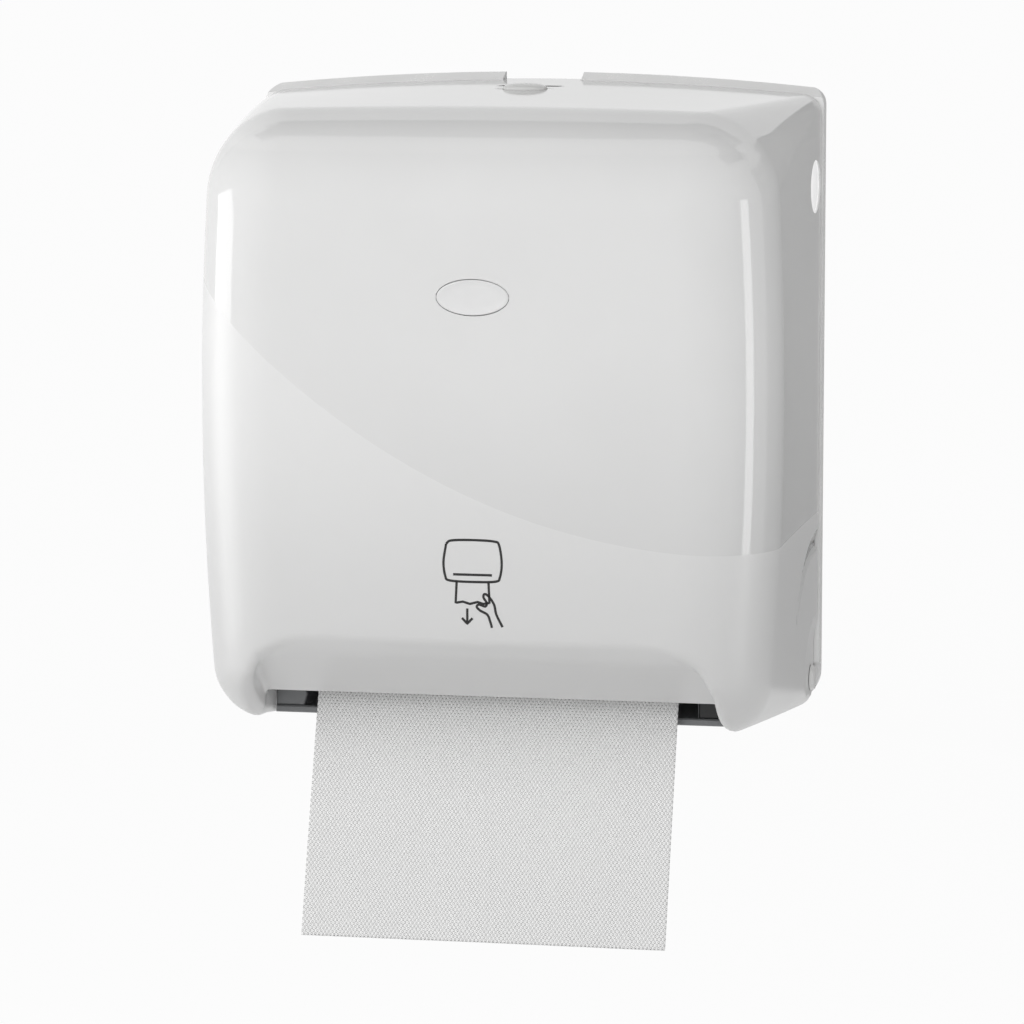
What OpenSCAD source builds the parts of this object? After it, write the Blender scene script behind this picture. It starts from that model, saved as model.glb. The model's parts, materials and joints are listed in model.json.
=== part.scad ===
// Wall dispenser for rolled paper towels. The pull on the towel turns a drum that cuts the next sheet.
// Wall face on the XZ plane, room side towards -Y, +Z up, origin at mid height. Millimetres.

/* [Case] */
// full width over the back plate
case_w = 335; // [328:1:350]
// full height, lobes to lip
case_h = 374; // [368:1:390]
// full depth, wall to cover front
case_d = 221; // [216:1:235]
// cover wall thickness
wall = 2.8; // [2.4:0.1:3.4]
// back plate thickness
plate_t = 3; // [2.4:0.2:4]
// depth of the rim round the back plate
rim_depth = 12; // [11:0.5:14]
// rim wall thickness
rim_t = 3.4; // [3.2:0.1:3.6]
// clearance between moving pieces
play = 0.4; // [0.3:0.05:0.6]
// gap between cover edge and rim
seam = 0.8; // [0.5:0.1:1.2]

/* [Cover shape] */
// height of the rim lip above the cover top
lip_h = 3.7; // [3:0.1:5]
// sideways fall of the rim lip over half the width
lip_crown = 8.7; // [7:0.1:9.5]
// sideways fall of the cover top over half the width, at the wall
crown = 8.5; // [7:0.5:10]
// share of that fall which is lost towards the front
crown_fade = 0.7; // [0.4:0.05:0.9]
// fall of the top per mm towards the front
top_slope = 0.052; // [0.04:0.002:0.064]
// rise of the base per mm towards the front
base_slope = 0.055; // [0.04:0.005:0.065]
// inward lean of each side per mm towards the front
side_taper = 0.024; // [0.018:0.001:0.03]
// swell of each side at mid height, at the front
side_swell = 7; // [4:0.5:8]
// outline corner radius at the wall
corner_back = 10; // [8:1:12]
// upper outline corner radius at the front
corner_top = 50; // [44:1:54]
// lower outline corner radius at the front
corner_base = 32; // [26:1:38]
// edge rounding, front to top
round_top = 56; // [50:1:60]
// edge rounding, front to sides
round_side = 50; // [46:1:54]
// edge rounding, front to bottom
round_bottom = 62; // [56:1:66]
// bow of the front face across its width
front_bow = 9; // [6:0.5:10]
// half width of the gap in the rim lip
lip_gap = 23.5; // [20:0.5:28]

/* [Outlet] */
// width of the scooped outlet between the lobes
scoop_w = 250; // [246:1:252]
// outlet corner radius
scoop_corner = 38; // [25:1:45]
// depth of the brow edge from the wall
brow_d = 166; // [163:1:170]
// height of the brow edge above the lowest point of the case
brow_h = 25; // [22:0.5:27]
// height of the scoop top above the lowest point of the case
scoop_h = 60.5; // [56:0.5:64]

/* [Badge and windows] */
// badge oval width
badge_w = 41; // [30:1:46]
// badge oval height
badge_h = 20; // [14:1:24]
// badge height above middle
badge_z = 72; // [50:1:85]
// depth of the badge pocket
badge_t = 1.6; // [1:0.1:1.8]
// level window width along the depth
window_w = 36; // [30:1:38]
// level window height
window_h = 31; // [22:1:34]
// level window distance from the wall
window_d = 33; // [32:1:44]
// level window height above middle
window_z = 123; // [100:1:126]
// radius of the wall screw holes
wall_hole_r = 2.75; // [2.25:0.25:3.25]
// wall screw spacing across
wall_hole_x = 260; // [256:1:264]
// wall screw spacing up
wall_hole_z = 150; // [140:1:156]

/* [Lock] */
// push button width
button_w = 26; // [24:1:32]
// push button depth
button_d = 22; // [18:1:24]
// push button distance from the wall
button_y = 66; // [62:1:70]
// button travel
press = 4; // [3.5:0.5:4]
// half width of the latch hook
hook_half = 8; // [6:0.5:10]

/* [Towel roll] */
// roll and towel width
roll_w = 210; // [196:1:212]
// roll diameter as loaded
roll_d = 166; // [110:1:168]
// distance of the roll axis from the wall
roll_depth = 104; // [100:1:108]
// distance of the roll axis below the case top
roll_drop = 138; // [136:1:142]
// bore of the cardboard core
core_d = 38; // [36:1:40]
// core wall
core_t = 2; // [1.5:0.25:3]

/* [Feed drum] */
// drum diameter
drum_d = 80; // [78:0.5:82]
// drum wall
drum_wall = 3; // [2.5:0.25:3.5]
// steel axle diameter
axle_d = 8; // [6:0.5:9]
// journal diameter of the drum ends
journal_d = 13; // [12:0.5:14]
// hand wheel diameter
wheel_d = 52; // [44:1:56]
// teeth of the stop wheel
stop_teeth = 12; // [12:2:12]
// pressure roller diameter
pinch_d = 18; // [16:0.5:20]

/* [Knife] */
// saw tooth pitch of the blade
tooth_pitch = 4; // [3:0.5:6]
// saw tooth height
tooth_h = 3.5; // [2.5:0.5:4.5]
// blade thickness
blade_t = 1; // [0.8:0.1:1.2]

/* [Frames] */
// side frame thickness
frame_t = 3; // [2.5:0.25:3.5]
// chassis floor thickness
floor_t = 2.5; // [2:0.25:3]
// fastener shank radius
screw_r = 1.6; // [1.4:0.1:1.8]
// fastener head radius
head_r = 3.4; // [3:0.1:3.8]

/* [Towel] */
// thickness of the drawn paper
sheet_t = 0.5; // [0.4:0.1:0.8]
// forward lean of the hanging towel
tail_lean = 19; // [17:0.5:21]
// towel end below the lowest point of the case
tail_drop = 110; // [60:5:160]

/* [Hidden] */
$fn = 48;
half_w = case_w / 2;
top_z = case_h / 2;
base_z = -case_h / 2;
lip_r = (half_w * half_w + lip_crown * lip_crown) / (2 * lip_crown);
plate_rise = 2;
plate_corner_top = 10;
plate_corner_base = 18;
side_step = 0.9;
swell_mid = 6.5;
swell_half = top_z - 53;
hinge_y = -(rim_depth + 14.5);
hinge_z = base_z + 19.5;
hinge_round = 12;
pin_r = 3;
recess_x = half_w - 3.3;
hinge_in = recess_x - wall - 2.2;
cover_rear = rim_depth + seam;
roll_r = roll_d / 2;
roll_y = -roll_depth;
roll_z = top_z - roll_drop;
drum_r = drum_d / 2;
drum_y = -(brow_d - 80);
drum_z = base_z + 83;
shell_half = roll_w / 2 + 1;
cap_t = 3;
cap_out = shell_half + cap_t;
frame_in = roll_w / 2 + 10;
frame_out = frame_in + frame_t;
arm_in = roll_w / 2 + 2.5;
arm_out = arm_in + 3;
foot_y = -8;
foot_t = 3;
slot_tilt = 15;
knife_u = 18;
knife_v = -26;
tip_u = 36;
tip_v = 2;
blade_half = roll_w / 2 - 3;
lock_top = top_z - 17.5;

// shape helpers
module along_x(x0, x1) {
    translate([x0, 0, 0]) rotate([90, 0, 90]) linear_extrude(x1 - x0) children();
}
module along_y(y0, y1) {
    translate([0, y1, 0]) rotate([90, 0, 0]) linear_extrude(y1 - y0) children();
}
module rod(x0, x1, r, y, z) {
    along_x(x0, x1) translate([y, z]) circle(r);
}
module peg(y0, y1, r, x, z) {
    along_y(y0, y1) translate([x, z]) circle(r);
}
module box(x0, x1, y0, y1, z0, z1) {
    translate([x0, y0, z0]) cube([x1 - x0, y1 - y0, z1 - z0]);
}
module both_sides() {
    children();
    mirror([1, 0, 0]) children();
}
function oval(w, h, n) = [for (i = [0:n - 1]) [w / 2 * cos(i * 360 / n), h / 2 * sin(i * 360 / n)]];

// outline of the wall plate in X and Z, moved in by an inset
module plate_outline(inset) {
    w = half_w - inset;
    rb = plate_corner_base - inset;
    rt = plate_corner_top - inset;
    z0 = base_z + plate_rise + inset;
    zt = top_z - lip_r + sqrt(pow(lip_r - inset, 2) - pow(w - rt, 2)) - rt + 0.15;
    intersection() {
        union() {
            translate([-w, z0 + rb]) square([2 * w, zt - z0 - rb]);
            translate([-w + rb, z0]) square([2 * (w - rb), rb + 1]);
            translate([-w + rt, zt - 1]) square([2 * (w - rt), top_z - zt + 3]);
            for (s = [-1, 1]) {
                translate([s * (w - rb), z0 + rb]) circle(rb);
                translate([s * (w - rt), zt]) circle(rt);
            }
        }
        translate([0, top_z - lip_r]) circle(lip_r - inset, $fn = 720);
    }
}
module rim_ring() {
    difference() {
        plate_outline(0);
        intersection() {
            plate_outline(rim_t);
            translate([0, top_z - lip_h - lip_r]) circle(lip_r - rim_t, $fn = 720);
        }
    }
}
// what is cut off above the lip, so that it falls towards the room
module lip_slope() {
    lip_fall = atan2(lip_h, rim_depth - plate_t);
    translate([0, -plate_t + 0.4, top_z]) rotate([lip_fall, 0, 0]) translate([0, 0, -top_z])
        along_y(-rim_depth - 20, 10) difference() {
            translate([-half_w - 10, top_z - 30]) square([case_w + 20, 60]);
            translate([0, top_z - lip_r]) circle(lip_r, $fn = 720);
        }
}

// cover skin: rings of a rounded outline that swells and closes towards the front
function eased(d, depth, r) = d > depth - r ? r - sqrt(max(0, r * r - pow(d - depth + r, 2))) : 0;
function corner_growth(d) = min(1, d / (case_d - 30));
function half_at(d, w) = half_w - side_step - side_taper * d - w - eased(d, case_d - w, round_side - w);
function top_at(d, w) = top_z - lip_h - top_slope * d - w - eased(d, case_d - w, round_top - w);
function base_at(d, w) = base_z + base_slope * d + w + eased(d, case_d - w, round_bottom - w);
function closing(d, w, r) = max(4, r - w - eased(d, case_d - w, round_side - w));
function radius_top(d, w) =
    closing(d, w, corner_back + (corner_top - corner_back) * pow(corner_growth(d), 1.6));
function radius_base(d, w) = closing(d, w, corner_back + (corner_base - corner_back) * corner_growth(d));
function edge(a, b, n) = [for (i = [1:n - 1]) a + (b - a) * i / n];
function arc(cx, cz, r, a0) = [for (i = [0:7]) [cx + r * cos(a0 + i * 90 / 7), cz + r * sin(a0 + i * 90 / 7)]];
function outline(hw, t, b, rt, rb) = concat(
    arc(hw - rt, t - rt, rt, 0), edge([hw - rt, t], [rt - hw, t], 8),
    arc(rt - hw, t - rt, rt, 90), edge([-hw, t - rt], [-hw, b + rb], 6),
    arc(rb - hw, b + rb, rb, 180), edge([rb - hw, b], [hw - rb, b], 8),
    arc(hw - rb, b + rb, rb, 270), edge([hw, b + rb], [hw, t - rt], 6));
function swell_at(d, z) = side_swell / half_w * pow(d / case_d, 2)
    * max(-0.6, 1 - pow((z - swell_mid) / swell_half, 2));
function bent(x, d, z) = [x,
    -(d - front_bow * pow(x / half_w, 2) * pow(d / case_d, 3)),
    z - crown * (1 - crown_fade * d / case_d) * pow(x / half_w, 2) * max(0, z / top_z)];
function warp(p, d) = bent(p[0] * (1 + swell_at(d, p[1])), d, p[1]);
function section(d, w) =
    outline(half_at(d, w), top_at(d, w), base_at(d, w), radius_top(d, w), radius_base(d, w));
function ring(d, w) = [for (p = section(d, w)) warp(p, d)];
function inner_ring(w, k) = [for (p = section(case_d - w, w))
    warp([p[0] * k, p[1] * k + 2 * (1 - k)], case_d - w)];
module skin(d0, w) {
    depth = case_d - w;
    steps = [d0, 17, 50, 85, 120, 147, depth - 58, depth - 48, depth - 38, depth - 29, depth - 21, depth - 14,
        depth - 8.5, depth - 4.8, depth - 2, depth - 0.5, depth];
    rings = concat([for (d = steps) ring(d, w)], [for (k = [0.7, 0.4, 0.12]) inner_ring(w, k)]);
    n = len(rings[0]);
    m = len(rings);
    points = [for (r = rings) for (p = r) p];
    walls = [for (j = [0:m - 2]) for (i = [0:n - 1]) for (t = [0, 1])
        t == 0 ? [j * n + i, (j + 1) * n + (i + 1) % n, j * n + (i + 1) % n]
            : [j * n + i, (j + 1) * n + i, (j + 1) * n + (i + 1) % n]];
    caps = [[for (i = [0:n - 1]) i], [for (i = [0:n - 1]) m * n - 1 - i]];
    polyhedron(points, concat(walls, caps));
}

// outlet scoop, drawn in the sloping plane of the brow band
scoop_rise = scoop_h - brow_h;
scoop_run = case_d - 2 - brow_d;
scoop_len = sqrt(scoop_rise * scoop_rise + scoop_run * scoop_run);
module scoop(grow) {
    w = scoop_w / 2 + grow;
    r = scoop_corner + grow;
    reach = scoop_len + grow;
    translate([0, -brow_d, base_z + brow_h]) rotate([180 - atan2(scoop_rise, scoop_run), 0, 0])
        translate([0, 0, -grow]) linear_extrude(90) union() {
            translate([-w, -60]) square([2 * w, reach + 60 - r]);
            translate([r - w, -60]) square([2 * (w - r), reach + 60]);
            for (s = [-1, 1]) translate([s * (w - r), reach - r]) circle(r);
        }
}
// flat recess by the hinge, bounded by an arc, and the pad that backs it inside
recess_y = -12;
recess_z = base_z + 55.5;
function recess_arc(grow) = [for (i = [0:15])
    [recess_y - (90 + grow) * cos(i * 6), recess_z + (48 + grow) * sin(i * 6)]];
module hinge_recess() {
    polygon(concat(recess_arc(0), [[5, recess_z + 48], [5, base_z - 10], [recess_y - 90, base_z - 10]]));
}
module hinge_pad() {
    polygon(concat(recess_arc(2), [[-5, recess_z + 50], [-5, hinge_z - 4.5], [recess_y - 92, hinge_z + 9]]));
}
// inner wall of a lobe, in Y and Z, with its foot inside the bottom skin
lobe_top = base_z + brow_h + 4.5;
lobe_ends = [brow_d - 4, 41 - hinge_y];
module lobe_rib() {
    polygon([[-lobe_ends[0], base_at(lobe_ends[0], wall / 2)], [-lobe_ends[1], base_at(lobe_ends[1], wall / 2)],
        [-lobe_ends[1], lobe_top - 0.5], [-lobe_ends[0], lobe_top - 0.5]]);
}
boss_x = 21;
slot_half = 18.5;
boss_y = [button_y - 28, button_y + 22];

module front_cover() color([0.93, 0.93, 0.92]) difference() {
    union() {
        difference() {
            skin(4, 0);
            difference() {
                skin(2, wall);
                scoop(wall);
            }
        }
        both_sides() {
            rod(hinge_in, recess_x - 1, 8, hinge_y, hinge_z);
            along_x(hinge_in + 1, recess_x - 0.6) hinge_pad();
            along_x(scoop_w / 2 - 1, scoop_w / 2 + wall + 0.3) lobe_rib();
        }
        for (s = [-1, 1]) for (d = boss_y)
            translate([s * boss_x, -d, lock_top]) cylinder(r = 4, h = top_at(d, wall) - lock_top + 1);
    }
    scoop(0);
    box(-scoop_w / 2, scoop_w / 2, -brow_d, 1, base_z - 5, lobe_top);
    box(-half_w, -lip_gap + seam, -cover_rear, 1, base_z - 5, top_z);
    box(lip_gap - seam, half_w, -cover_rear, 1, base_z - 5, top_z);
    box(-lip_gap, lip_gap, -cover_rear, 1, base_z - 5, top_z - 30);
    along_x(-half_w, half_w) difference() {
        translate([hinge_y, base_z - 5]) square([40, hinge_z - base_z + 5]);
        translate([hinge_y, hinge_z]) circle(hinge_round);
    }
    box(0.2 - hinge_in, hinge_in - 0.2, hinge_y + 0.3, hinge_y + 40, base_z - 5, hinge_z - 0.3);
    both_sides() {
        along_x(recess_x, half_w + 5) hinge_recess();
        rod(half_w - 20, half_w + 5, pin_r + play, hinge_y, hinge_z);
        along_x(half_w - 20, half_w + 5) translate([-window_d, window_z]) polygon(oval(window_w, window_h, 48));
    }
    translate([0, -button_y, 150]) linear_extrude(60) polygon(oval(button_w + 2 * play, button_d + 2 * play, 48));
    box(-slot_half, slot_half, -button_y + 16, -button_y + 17.2, lock_top + 2, top_z);
    along_y(-case_d - 5, -case_d + badge_t) translate([0, badge_z]) polygon(oval(badge_w + 0.6, badge_h + 0.6, 48));
    for (s = [-1, 1]) for (d = boss_y)
        translate([s * boss_x, -d, lock_top - 1]) cylinder(r = screw_r, h = 6);
}
module badge_plate() color([0.9, 0.9, 0.89])
    along_y(-case_d + 0.3, -case_d + badge_t) translate([0, badge_z]) polygon(oval(badge_w, badge_h, 48));
module level_windows() color([0.86, 0.9, 0.92]) both_sides()
    along_x(half_at(window_d, wall) - 0.6, half_at(window_d + window_w / 2, 0) - 0.2)
        translate([-window_d, window_z]) polygon(oval(window_w - 0.3, window_h - 0.3, 48));

// wall side
module foot_boss(x, z) {
    peg(foot_y, -plate_t + 1, 5, x, z);
}
foot_x = frame_out + 7;
frame_foot_z = [base_z + 30, base_z + 115];
arm_foot_x = arm_out + 8;
arm_foot_z = [roll_z - 28, roll_z + 28];
wall_hole_mid = 45;
module back_plate() color([0.88, 0.88, 0.87]) difference() {
    union() {
        along_y(-plate_t, 0) plate_outline(0);
        intersection() {
            along_y(-rim_depth, 0) rim_ring();
            union() {
                box(-half_w, half_w, -rim_depth, 0, base_z + 26, top_z + 1);
                box(-half_w, half_w, -6, 0, base_z, base_z + 27);
            }
        }
        for (x = [-100, -60, 60, 100]) box(x - 1, x + 1, -plate_t - 4, -1, base_z + 10, top_z - 20);
        for (z = [base_z + 37, base_z + 137, top_z - 57])
            box(-half_w + 1, half_w - 1, -plate_t - 3, -1, z - 1, z + 1);
        for (s = [-1, 1]) {
            for (z = frame_foot_z) foot_boss(s * foot_x, z);
            for (z = arm_foot_z) foot_boss(s * arm_foot_x, z);
            for (z = [-1, 1]) peg(-plate_t - 3, -1, 7, s * wall_hole_x / 2, wall_hole_mid + z * wall_hole_z / 2);
        }
        for (s = [-1, 1]) foot_boss(s * 16, top_z - 30);
        both_sides() along_x(hinge_in - play - 6, hinge_in - play) union() {
            translate([hinge_y, hinge_z]) circle(9);
            translate([hinge_y, hinge_z])
                polygon([[-9, 0], [9, 0], [-hinge_y - 1, 10], [-hinge_y - 1, 42], [-9, 14]]);
        }
    }
    lip_slope();
    box(-lip_gap, lip_gap, -rim_depth - 5, 5, top_z - 6.5, top_z + 5);
    box(-lip_gap, lip_gap, -rim_depth - 5, -plate_t, top_z - 11, top_z + 5);
    both_sides() rod(half_w - 40, half_w - 4, pin_r, hinge_y, hinge_z);
    for (s = [-1, 1]) {
        for (z = frame_foot_z) peg(foot_y - 1, -1.5, screw_r, s * foot_x, z);
        for (z = arm_foot_z) peg(foot_y - 1, -1.5, screw_r, s * arm_foot_x, z);
        peg(foot_y - 1, -1.5, screw_r, s * 16, top_z - 30);
        for (z = [-1, 1]) peg(-10, 1, wall_hole_r, s * wall_hole_x / 2, wall_hole_mid + z * wall_hole_z / 2);
    }
}
module hinge_pins() color([0.8, 0.8, 0.79]) both_sides() {
    rod(recess_x - wall - 10, recess_x + 0.5, pin_r, hinge_y, hinge_z);
    translate([recess_x + 0.3, hinge_y, hinge_z]) rotate([0, 90, 0]) cylinder(r1 = 7.7, r2 = 6.5, h = 2.6);
}

// chassis
tray_z = base_z + 10;
cradle_y = drum_y - 11;
cradle_z = drum_z + 59;
post_y = drum_y + 30;
post_z = drum_z + 52;
pawl_y = drum_y + 28;
pawl_z = drum_z - 35;
module frame_side() {
    difference() {
        union() {
            along_x(frame_in, frame_out) polygon([[foot_y - foot_t, tray_z], [drum_y - 55, tray_z],
                [drum_y - 55, base_z + 26], [drum_y - 44, base_z + 44], [drum_y - 44, drum_z + 46],
                [drum_y - 28, drum_z + 69], [drum_y + 6, drum_z + 69], [foot_y - foot_t, drum_z + 42]]);
            box(frame_in, foot_x + 6, foot_y - foot_t, foot_y, base_z + 20, base_z + 125);
        }
        rod(frame_in - 1, frame_out + 1, journal_d / 2 + 3.5, drum_y, drum_z);
        rod(frame_in - 1, frame_out + 1, pin_r, cradle_y, cradle_z);
        for (z = frame_foot_z) peg(foot_y - foot_t - 1, foot_y + 1, screw_r, foot_x, z);
    }
}
module side_frame_left() color([0.55, 0.56, 0.58]) union() {
    mirror([1, 0, 0]) frame_side();
    rod(-frame_out - 13, -frame_in - 1, 2.5, post_y, post_z);
}
module side_frame_right() color([0.55, 0.56, 0.58]) difference() {
    frame_side();
    rod(frame_in - 1, frame_out + 1, 2, pawl_y, pawl_z);
}
module chassis_tray() color([0.5, 0.51, 0.53]) along_x(-frame_in, frame_in) union() {
    translate([drum_y - 54, tray_z]) square([foot_y - foot_t - drum_y + 54, floor_t]);
    translate([drum_y - 55, tray_z - 0.3]) square([3, 3.5]);
    translate([foot_y - foot_t - 2.5, tray_z]) square([2.5, 36]);
}
module drum_bushes() color([0.86, 0.84, 0.76]) both_sides() difference() {
    rod(frame_in, frame_out, journal_d / 2 + 3.5, drum_y, drum_z);
    rod(frame_in - 1, frame_out + 1, journal_d / 2 + play, drum_y, drum_z);
}
module cam_ring() color([0.75, 0.74, 0.7]) difference() {
    rod(-frame_in, -frame_in + 2.8, 36, drum_y, drum_z);
    rod(-frame_in - 1, -frame_in + 4, 32, drum_y, drum_z);
}
module screw_y(x, z, y_head, length) {
    peg(y_head - 2, y_head, head_r, x, z);
    peg(y_head - 1, y_head + length, screw_r, x, z);
}
module frame_screws() color([0.7, 0.71, 0.72]) for (s = [-1, 1]) for (z = frame_foot_z)
    screw_y(s * foot_x, z, foot_y - foot_t, 8);
module cradle_rod() color([0.72, 0.73, 0.74]) rod(-frame_out - 1, frame_out + 1, pin_r, cradle_y, cradle_z);
module pawl_pin() color([0.72, 0.73, 0.74]) union() {
    rod(frame_in, frame_out + 6, 2, pawl_y, pawl_z);
    rod(frame_out + 5.2, frame_out + 6.2, 3.6, pawl_y, pawl_z);
}

// towel roll and its arms
module arm_shape() {
    union() {
        translate([roll_y, roll_z]) circle(24);
        polygon([[roll_y - 4, roll_z + 23.6], [foot_y - 12, roll_z + 36], [foot_y - 12, roll_z - 36],
            [roll_y - 4, roll_z - 23.6]]);
    }
}
module hub(s) {
    translate([s * arm_in, roll_y, roll_z]) rotate([0, -s * 90, 0])
        cylinder(r1 = core_d / 2 - play, r2 = core_d / 2 - 5, h = 15);
}
module roll_arm_left() color([0.55, 0.56, 0.58]) difference() {
    union() {
        along_x(-arm_out, -arm_in) union() {
            arm_shape();
            translate([foot_y - 13, roll_z - 36]) square([13, 72]);
        }
        box(-arm_foot_x - 6, -arm_in, foot_y - foot_t, foot_y, roll_z - 36, roll_z + 36);
        hub(-1);
    }
    for (z = arm_foot_z) peg(foot_y - foot_t - 1, foot_y + 1, screw_r, -arm_foot_x, z);
}
hinge_x = arm_out + 4;
knuckle_y = foot_y - 9;
module arm_bracket() color([0.5, 0.51, 0.53]) difference() {
    union() {
        box(arm_in, arm_foot_x + 6, foot_y - foot_t, foot_y, roll_z - 36, roll_z + 36);
        for (s = [-1, 1]) translate([0, 0, roll_z + s * 18.5 - 2.5]) linear_extrude(5) union() {
            translate([hinge_x, knuckle_y]) circle(4.5);
            translate([hinge_x - 4.5, knuckle_y]) square([9, -knuckle_y + foot_y - 1]);
        }
    }
    translate([hinge_x, knuckle_y, roll_z - 40]) cylinder(r = 2, h = 80);
    for (z = arm_foot_z) peg(foot_y - foot_t - 1, foot_y + 1, screw_r, arm_foot_x, z);
}
module arm_pin() color([0.72, 0.73, 0.74])
    translate([hinge_x, knuckle_y, roll_z - 22]) cylinder(r = 2, h = 44);
module roll_arm_right() color([0.55, 0.56, 0.58]) difference() {
    union() {
        along_x(arm_in, arm_out) arm_shape();
        translate([0, 0, roll_z - 15.6]) linear_extrude(31.2) union() {
            translate([hinge_x, knuckle_y]) circle(4.5);
            translate([arm_in, knuckle_y - 9]) square([hinge_x - arm_in, 9]);
        }
        hub(1);
    }
    translate([hinge_x, knuckle_y, roll_z - 40]) cylinder(r = 2 + play, h = 80);
    box(arm_in - 1, hinge_x + 5, foot_y - 12.01, foot_y, roll_z - 40, roll_z - 15.6);
    box(arm_in - 1, hinge_x + 5, foot_y - 12.01, foot_y, roll_z + 15.6, roll_z + 40);
}
module arm_screws() color([0.7, 0.71, 0.72]) for (s = [-1, 1]) for (z = arm_foot_z)
    screw_y(s * arm_foot_x, z, foot_y - foot_t, 8);
module roll_core() color([0.72, 0.58, 0.4]) difference() {
    rod(-roll_w / 2, roll_w / 2, core_d / 2 + core_t, roll_y, roll_z);
    rod(-roll_w, roll_w, core_d / 2, roll_y, roll_z);
}
module paper_roll() color([0.97, 0.97, 0.96]) difference() {
    rod(-roll_w / 2, roll_w / 2, roll_r, roll_y, roll_z);
    rod(-roll_w, roll_w, core_d / 2 + core_t, roll_y, roll_z);
}

// path of the drawn paper: off the roll, over the drum, out under the brow
web_r = drum_r + play + sheet_t / 2;
feed_r = roll_r + play + sheet_t / 2;
span = sqrt(pow(roll_y - drum_y, 2) + pow(roll_z - drum_z, 2));
web_a = asin((web_r + feed_r) / span) - atan2(drum_y - roll_y, roll_z - drum_z);
function on_drum(a) = [drum_y - web_r * cos(a), drum_z + web_r * sin(a)];
function past(a) = [cos(a), -sin(a)];
web_start = [roll_y + feed_r * cos(web_a), roll_z - feed_r * sin(web_a)];
tail_z = base_z - tail_drop;
tail_len = (on_drum(tail_lean)[1] - tail_z) / cos(tail_lean);
tail_end = on_drum(tail_lean) + tail_len * [-sin(tail_lean), -cos(tail_lean)];
web_arc = [for (i = [0:6]) web_a + (tail_lean - web_a) * i / 6];
web_mid = concat([web_start], [for (a = web_arc) on_drum(a)], [tail_end]);
web_out = concat([past(web_a)], [for (a = web_arc) past(a)], [past(tail_lean)]);
module towel_sheet() color([0.98, 0.98, 0.97]) along_x(-roll_w / 2, roll_w / 2) polygon(concat(
    [for (i = [0:len(web_mid) - 1]) web_mid[i] - web_out[i] * sheet_t / 2],
    [for (i = [len(web_mid) - 1:-1:0]) web_mid[i] + web_out[i] * sheet_t / 2]));

// pressure roller, held to the drum where the paper lands on it
nip_r = web_r + sheet_t / 2 + play + pinch_d / 2;
pinch_y = drum_y - nip_r * cos(web_a);
pinch_z = drum_z + nip_r * sin(web_a);
pinch_gap = [pinch_y - cradle_y, pinch_z - cradle_z];
pinch_len = sqrt(pinch_gap[0] * pinch_gap[0] + pinch_gap[1] * pinch_gap[1]);
pinch_turn = atan2(pinch_gap[1], pinch_gap[0]);
module cradle_arm() {
    union() {
        circle(6);
        rotate(pinch_turn) translate([0, -5]) square([pinch_len, 10]);
        rotate(pinch_turn) translate([pinch_len, 0]) circle(6);
    }
}
module pinch_cradle() color([0.3, 0.31, 0.33]) difference() {
    union() {
        both_sides() along_x(frame_in - 5, frame_in - 1) translate([cradle_y, cradle_z]) cradle_arm();
        rod(-frame_in + 2, frame_in - 2, 5.5, cradle_y, cradle_z);
    }
    rod(-frame_in, frame_in, pin_r + play, cradle_y, cradle_z);
    rod(-frame_in, frame_in, 3 + play, pinch_y, pinch_z);
}
module pinch_shaft() color([0.75, 0.76, 0.77]) rod(-frame_in + 1, frame_in - 1, 3, pinch_y, pinch_z);
module pinch_sleeves() color([0.15, 0.15, 0.16]) for (x = [-80, -20, 40]) difference() {
    rod(x, x + 40, pinch_d / 2, pinch_y, pinch_z);
    rod(x - 1, x + 41, 3, pinch_y, pinch_z);
}

// feed drum, drawn about its own axis with the knife slot facing -Y, then turned into place
module on_drum_axis() {
    translate([0, drum_y, drum_z]) rotate([slot_tilt, 0, 0]) children();
}
module shell_ring(x0, x1, r0, r1) {
    difference() {
        rod(x0, x1, r1, 0, 0);
        rod(x0 - 1, x1 + 1, r0, 0, 0);
    }
}
grip_x = [-84, -42, 0, 42, 84];
grip_half = 9;
module drum_shell_front() color([0.82, 0.82, 0.8]) on_drum_axis() difference() {
    shell_ring(-shell_half, shell_half, drum_r - drum_wall, drum_r);
    box(-shell_half - 1, shell_half + 1, 0, drum_r + 1, -drum_r - 1, drum_r + 1);
    box(-blade_half - 1, blade_half + 1, -drum_r - 1, -15, -28, 6);
}
module grip_band(x, over, from) {
    intersection() {
        shell_ring(x - grip_half, x + grip_half, drum_r - 1, drum_r + over);
        box(x - grip_half - 1, x + grip_half + 1, from, drum_r + 3, -drum_r - 3, drum_r + 3);
    }
}
module drum_shell_rear() color([0.82, 0.82, 0.8]) on_drum_axis() difference() {
    shell_ring(-shell_half, shell_half, drum_r - drum_wall, drum_r);
    box(-shell_half - 1, shell_half + 1, -drum_r - 1, 0, -drum_r - 1, drum_r + 1);
    for (x = grip_x) grip_band(x, 2, -1);
}
module drum_grips() color([0.2, 0.2, 0.21]) on_drum_axis() for (x = grip_x) grip_band(x, 0, play);
cap_screw_r = 27;
module drum_cap() {
    difference() {
        union() {
            rod(shell_half, cap_out, drum_r, 0, 0);
            shell_ring(shell_half - 3, shell_half + 0.5, drum_r - drum_wall - 2, drum_r - drum_wall);
            rod(cap_out - 1, frame_out + 0.8, journal_d / 2, 0, 0);
        }
        rod(shell_half - 4, frame_out + 2, axle_d / 2, 0, 0);
        rod(shell_half - 4, cap_out + 1, 2 + play, -knife_u, knife_v);
        box(shell_half - 4, shell_half, -drum_r, -12, -24, 8);
        for (a = [30, 90]) rod(shell_half - 4, cap_out + 1, screw_r, cap_screw_r * cos(a), cap_screw_r * sin(a));
    }
}
module drum_cap_left() color([0.78, 0.78, 0.77]) on_drum_axis() mirror([1, 0, 0]) drum_cap();
module drum_cap_right() color([0.78, 0.78, 0.77]) on_drum_axis() drum_cap();
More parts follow.
